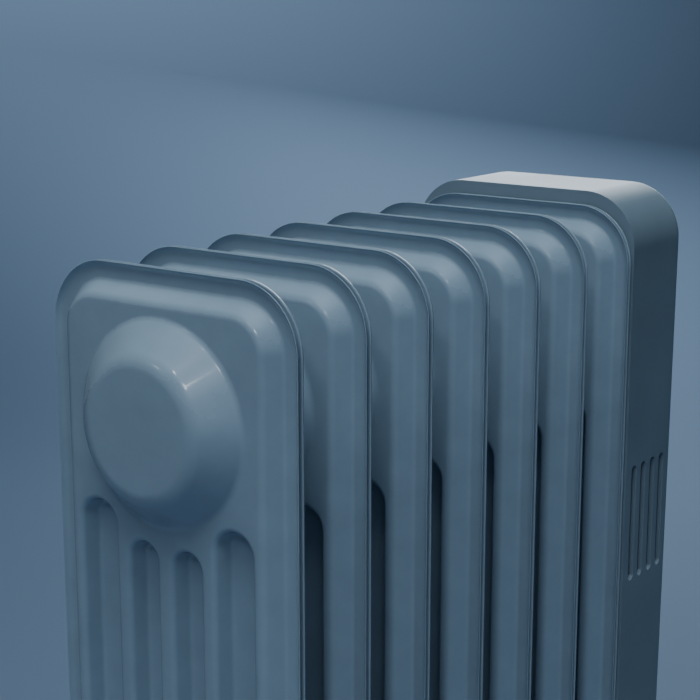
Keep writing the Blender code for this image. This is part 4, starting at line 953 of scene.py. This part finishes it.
for number in range(1, 5):
    wheel_centre = centre_of(f"caster_{number}_wheel")
    x = wheel_centre.x
    stem_y = wheel_centre.y - CASTER_TRAIL
    wheel = lathe(wheel_profile, 96, axis="X")
    ribs = [moved(box((WHEEL_WIDTH - 2.4 * MM, 7.5 * MM, 1.6 * MM), (0, 11.2 * MM, 0)),
                  Matrix.Rotation(math.pi / 3 * i, 4, "X")) for i in range(6)]
    add_piece(f"caster_{number}_tyre", moved(merged(f"caster_{number}_tyre", [wheel, *ribs], 30),
                                             Matrix.Translation(wheel_centre)), f"caster_{number}_wheel")
    hood = box((2 * outside, CASTER_TRAIL + 2 * outside, CROWN - HOOD_BASE),
               (x, stem_y + CASTER_TRAIL / 2, (CROWN + HOOD_BASE) / 2), 5.9 * MM, 0, 10)
    slot = box((2 * inside, 100 * MM, FORK_SLOT_TOP), (x, stem_y, FORK_SLOT_TOP / 2))
    pin_hole = moved(drill(AXLE_HOLE, 30 * MM, axis="X"), Matrix.Translation(wheel_centre))
    hood = eased("hood", combine("hood", hood, [slot, pin_hole]), 0.7 * MM, 3)
    stem_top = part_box(f"caster_{number}_fork")[1][2]
    stem = lathe(((0, stem_top), (3.4 * MM, stem_top), (4.8 * MM, stem_top - 0.4 * MM),
                  (6 * MM, stem_top - 1.3 * MM), (6.5 * MM, stem_top - 2.3 * MM),
                  (6.4 * MM, stem_top - 2.5 * MM), (4 * MM, stem_top - 2.5 * MM), (4 * MM, CROWN - 1 * MM),
                  (0, CROWN - 1 * MM)), 40, axis="Z")
    collar = lathe(((0, CROWN + 0.4 * MM), (7.5 * MM, CROWN + 0.4 * MM), (8 * MM, CROWN - 0.2 * MM),
                    (8 * MM, CROWN - 1 * MM), (0, CROWN - 1 * MM)), 40, axis="Z")
    swivel = merged(f"caster_{number}_hood", [hood, moved(stem, Matrix.Translation((x, stem_y, 0))),
                                              moved(collar, Matrix.Translation((x, stem_y, 0)))])
    add_piece(f"caster_{number}_hood", swivel, f"caster_{number}_fork")
    reach = size_of(f"caster_{number}_axle").x / 2
    pin = [(0, reach), (2.2 * MM, reach), (AXLE_RADIUS, reach - 0.5 * MM), (AXLE_RADIUS, -reach + 0.5 * MM),
           (2.2 * MM, -reach), (0, -reach)]
    add_piece(f"caster_{number}_pin", moved(lathe(pin, 32, axis="X"), Matrix.Translation(wheel_centre)),
              f"caster_{number}_axle")

gland = [(4 * MM, 3.5 * MM), (5.7 * MM, 3.5 * MM), (5.7 * MM, -GAP), (8 * MM, -GAP), (8 * MM, -1.2 * MM),
         (7.2 * MM, -1.6 * MM), (7.6 * MM, -2 * MM), (7 * MM, -3 * MM), (4.6 * MM, -3 * MM),
         (4 * MM, -2.4 * MM), (4 * MM, 3.5 * MM)]
add_piece("cord_bush", moved(lathe(gland, 48, axis="Z"), Matrix.Translation(gland_place)), "cord_inlet_gland")
print("casters placed: 4")

# %% [markdown]
# ## Floor, light and camera
# A plain pale floor that sweeps up at both ends of the room, and soft studio light, keep the eye on the
# object. The main light is a large panel high over the near fin, so the pressings' upper slopes are the
# brightest and their undersides fall into shade. Three small lamps put sharp glints on the baked enamel.

# %% Studio
HEADING = math.radians(36.73)                                # how far the view is turned from straight ahead
COOL_LIGHT = (0.84, 0.93, 1.0)
LAMP_LIGHT = (0.90, 0.95, 1.0)
KEY_DISTANCE = 2.2
LAMP_DISTANCE = 2.6


def area_light(name, place, target, size, power, colour=COOL_LIGHT):
    data = bpy.data.lights.new(name, "AREA")
    data.shape = "RECTANGLE"
    data.size, data.size_y = size
    data.energy = power
    data.color = colour
    lamp = bpy.data.objects.new(name, data)
    bpy.context.scene.collection.objects.link(lamp)
    lamp.location = place
    lamp.rotation_euler = (Vector(target) - Vector(place)).to_track_quat("-Z", "Y").to_euler()
    lamp.visible_camera = False
    return lamp


SWEEP_WIDTH = 9.0
SWEEP_BACK = 3.2
SWEEP_RADIUS = 1.6
SWEEP_HEIGHT = 4.5
sweep = bmesh.new()
bend = [(SWEEP_BACK - SWEEP_RADIUS + y, SWEEP_RADIUS + z) for y, z in arc(0, 0, SWEEP_RADIUS, -90, 0, 24)]
profile = [*bend, (SWEEP_BACK, SWEEP_HEIGHT)]
profile = [(-y, z) for y, z in reversed(profile)] + profile
sides = [[sweep.verts.new((x, y, z)) for y, z in profile] for x in (-SWEEP_WIDTH / 2, SWEEP_WIDTH / 2)]
for i in range(len(profile) - 1):
    sweep.faces.new((sides[0][i], sides[1][i], sides[1][i + 1], sides[0][i + 1]))
backdrop = bpy.data.objects.new("studio_sweep", mesh_from("studio_sweep", sweep, 80))
bpy.context.scene.collection.objects.link(backdrop)
backdrop.rotation_euler = (0, 0, HEADING)
sweep_skin = new_material("painted_studio_sweep", Base_Color=linear("667C95"), Roughness=0.8)[0]
backdrop.data.materials.append(sweep_skin)

world = bpy.data.worlds.new("studio_air")
bpy.context.scene.world = world
world.use_nodes = True
world.node_tree.nodes["Background"].inputs["Color"].default_value = linear("8AA6C2")
world.node_tree.nodes["Background"].inputs["Strength"].default_value = 0.035

middle = (Vector(cad_bounds[0]) + Vector(cad_bounds[1])) / 2
near_hub = Vector((0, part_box("fin_1_front_half")[0][1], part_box("fin_1_front_half")[1][2] - HUB_FROM_END))
KEY_WAY = Vector((0.15, -0.22, 1.0)).normalized()
soft = area_light("soft_key_panel", near_hub + KEY_DISTANCE * KEY_WAY, near_hub, (1.6, 1.6), 11.0)
soft.visible_glossy = False
soft.data.spread = math.radians(75)
front_fill = area_light("front_fill_panel", (1.3, -2.0, 1.4), near_hub, (1.4, 1.4), 4.5)
front_fill.visible_glossy = False
area_light("back_panel", (-1.1, 2.2, 1.2), middle, (1.4, 1.0), 25)
view_way = Vector((-math.sin(HEADING), math.cos(HEADING), 0))
view_side = Vector((math.cos(HEADING), math.sin(HEADING), 0))
for name, way, power in (("far_wall_panel", 1, 13), ("near_wall_panel", -1, 9)):
    wash = area_light(name, way * (2.0 * view_way - 0.9 * view_side) + Vector((0, 0, 2.3)),
                      way * (3.2 * view_way - 0.6 * view_side) + Vector((0, 0, 0.9)), (2.2, 0.5), power)
    wash.data.spread = math.radians(80)
# each small lamp: its way from the hub, its size, its power
SMALL_LAMPS = (((-0.39, -0.77, 0.50), 0.12, 1.6), ((0.06, -0.61, 0.79), 0.16, 2.8),
               ((0.34, -0.69, 0.64), 0.28, 5.5))
for number, (way, size, power) in enumerate(SMALL_LAMPS, 1):
    area_light(f"small_lamp_{number}", near_hub + LAMP_DISTANCE * Vector(way).normalized(), near_hub,
               (size, size), power, LAMP_LIGHT)

# %% [markdown]
# The camera looks down on the near fin's top corner from its right, as a person crouching beside it would,
# through a long lens, so the rows of fins stay nearly parallel.

# %% Camera
CAMERA_FROM_FIN = Vector((472.85, -509.14, 120.66)) * MM     # from the middle of the near fin's top edge
PITCH_DOWN = math.radians(12.61)
LENS = 88.1

near_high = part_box("fin_1_front_half")[1]
rim_y = near_high[1] - FIN_SHEET - RIM_CURL_RISE
camera_data = bpy.data.cameras.new("camera")
camera_data.lens = LENS
camera_data.sensor_width = 36
camera = bpy.data.objects.new("camera", camera_data)
bpy.context.scene.collection.objects.link(camera)
camera.location = Vector((0, rim_y, near_high[2])) + CAMERA_FROM_FIN
camera.rotation_euler = (math.pi / 2 - PITCH_DOWN, 0, HEADING)
bpy.context.scene.camera = camera
print("camera at", [round(v, 4) for v in camera.location])
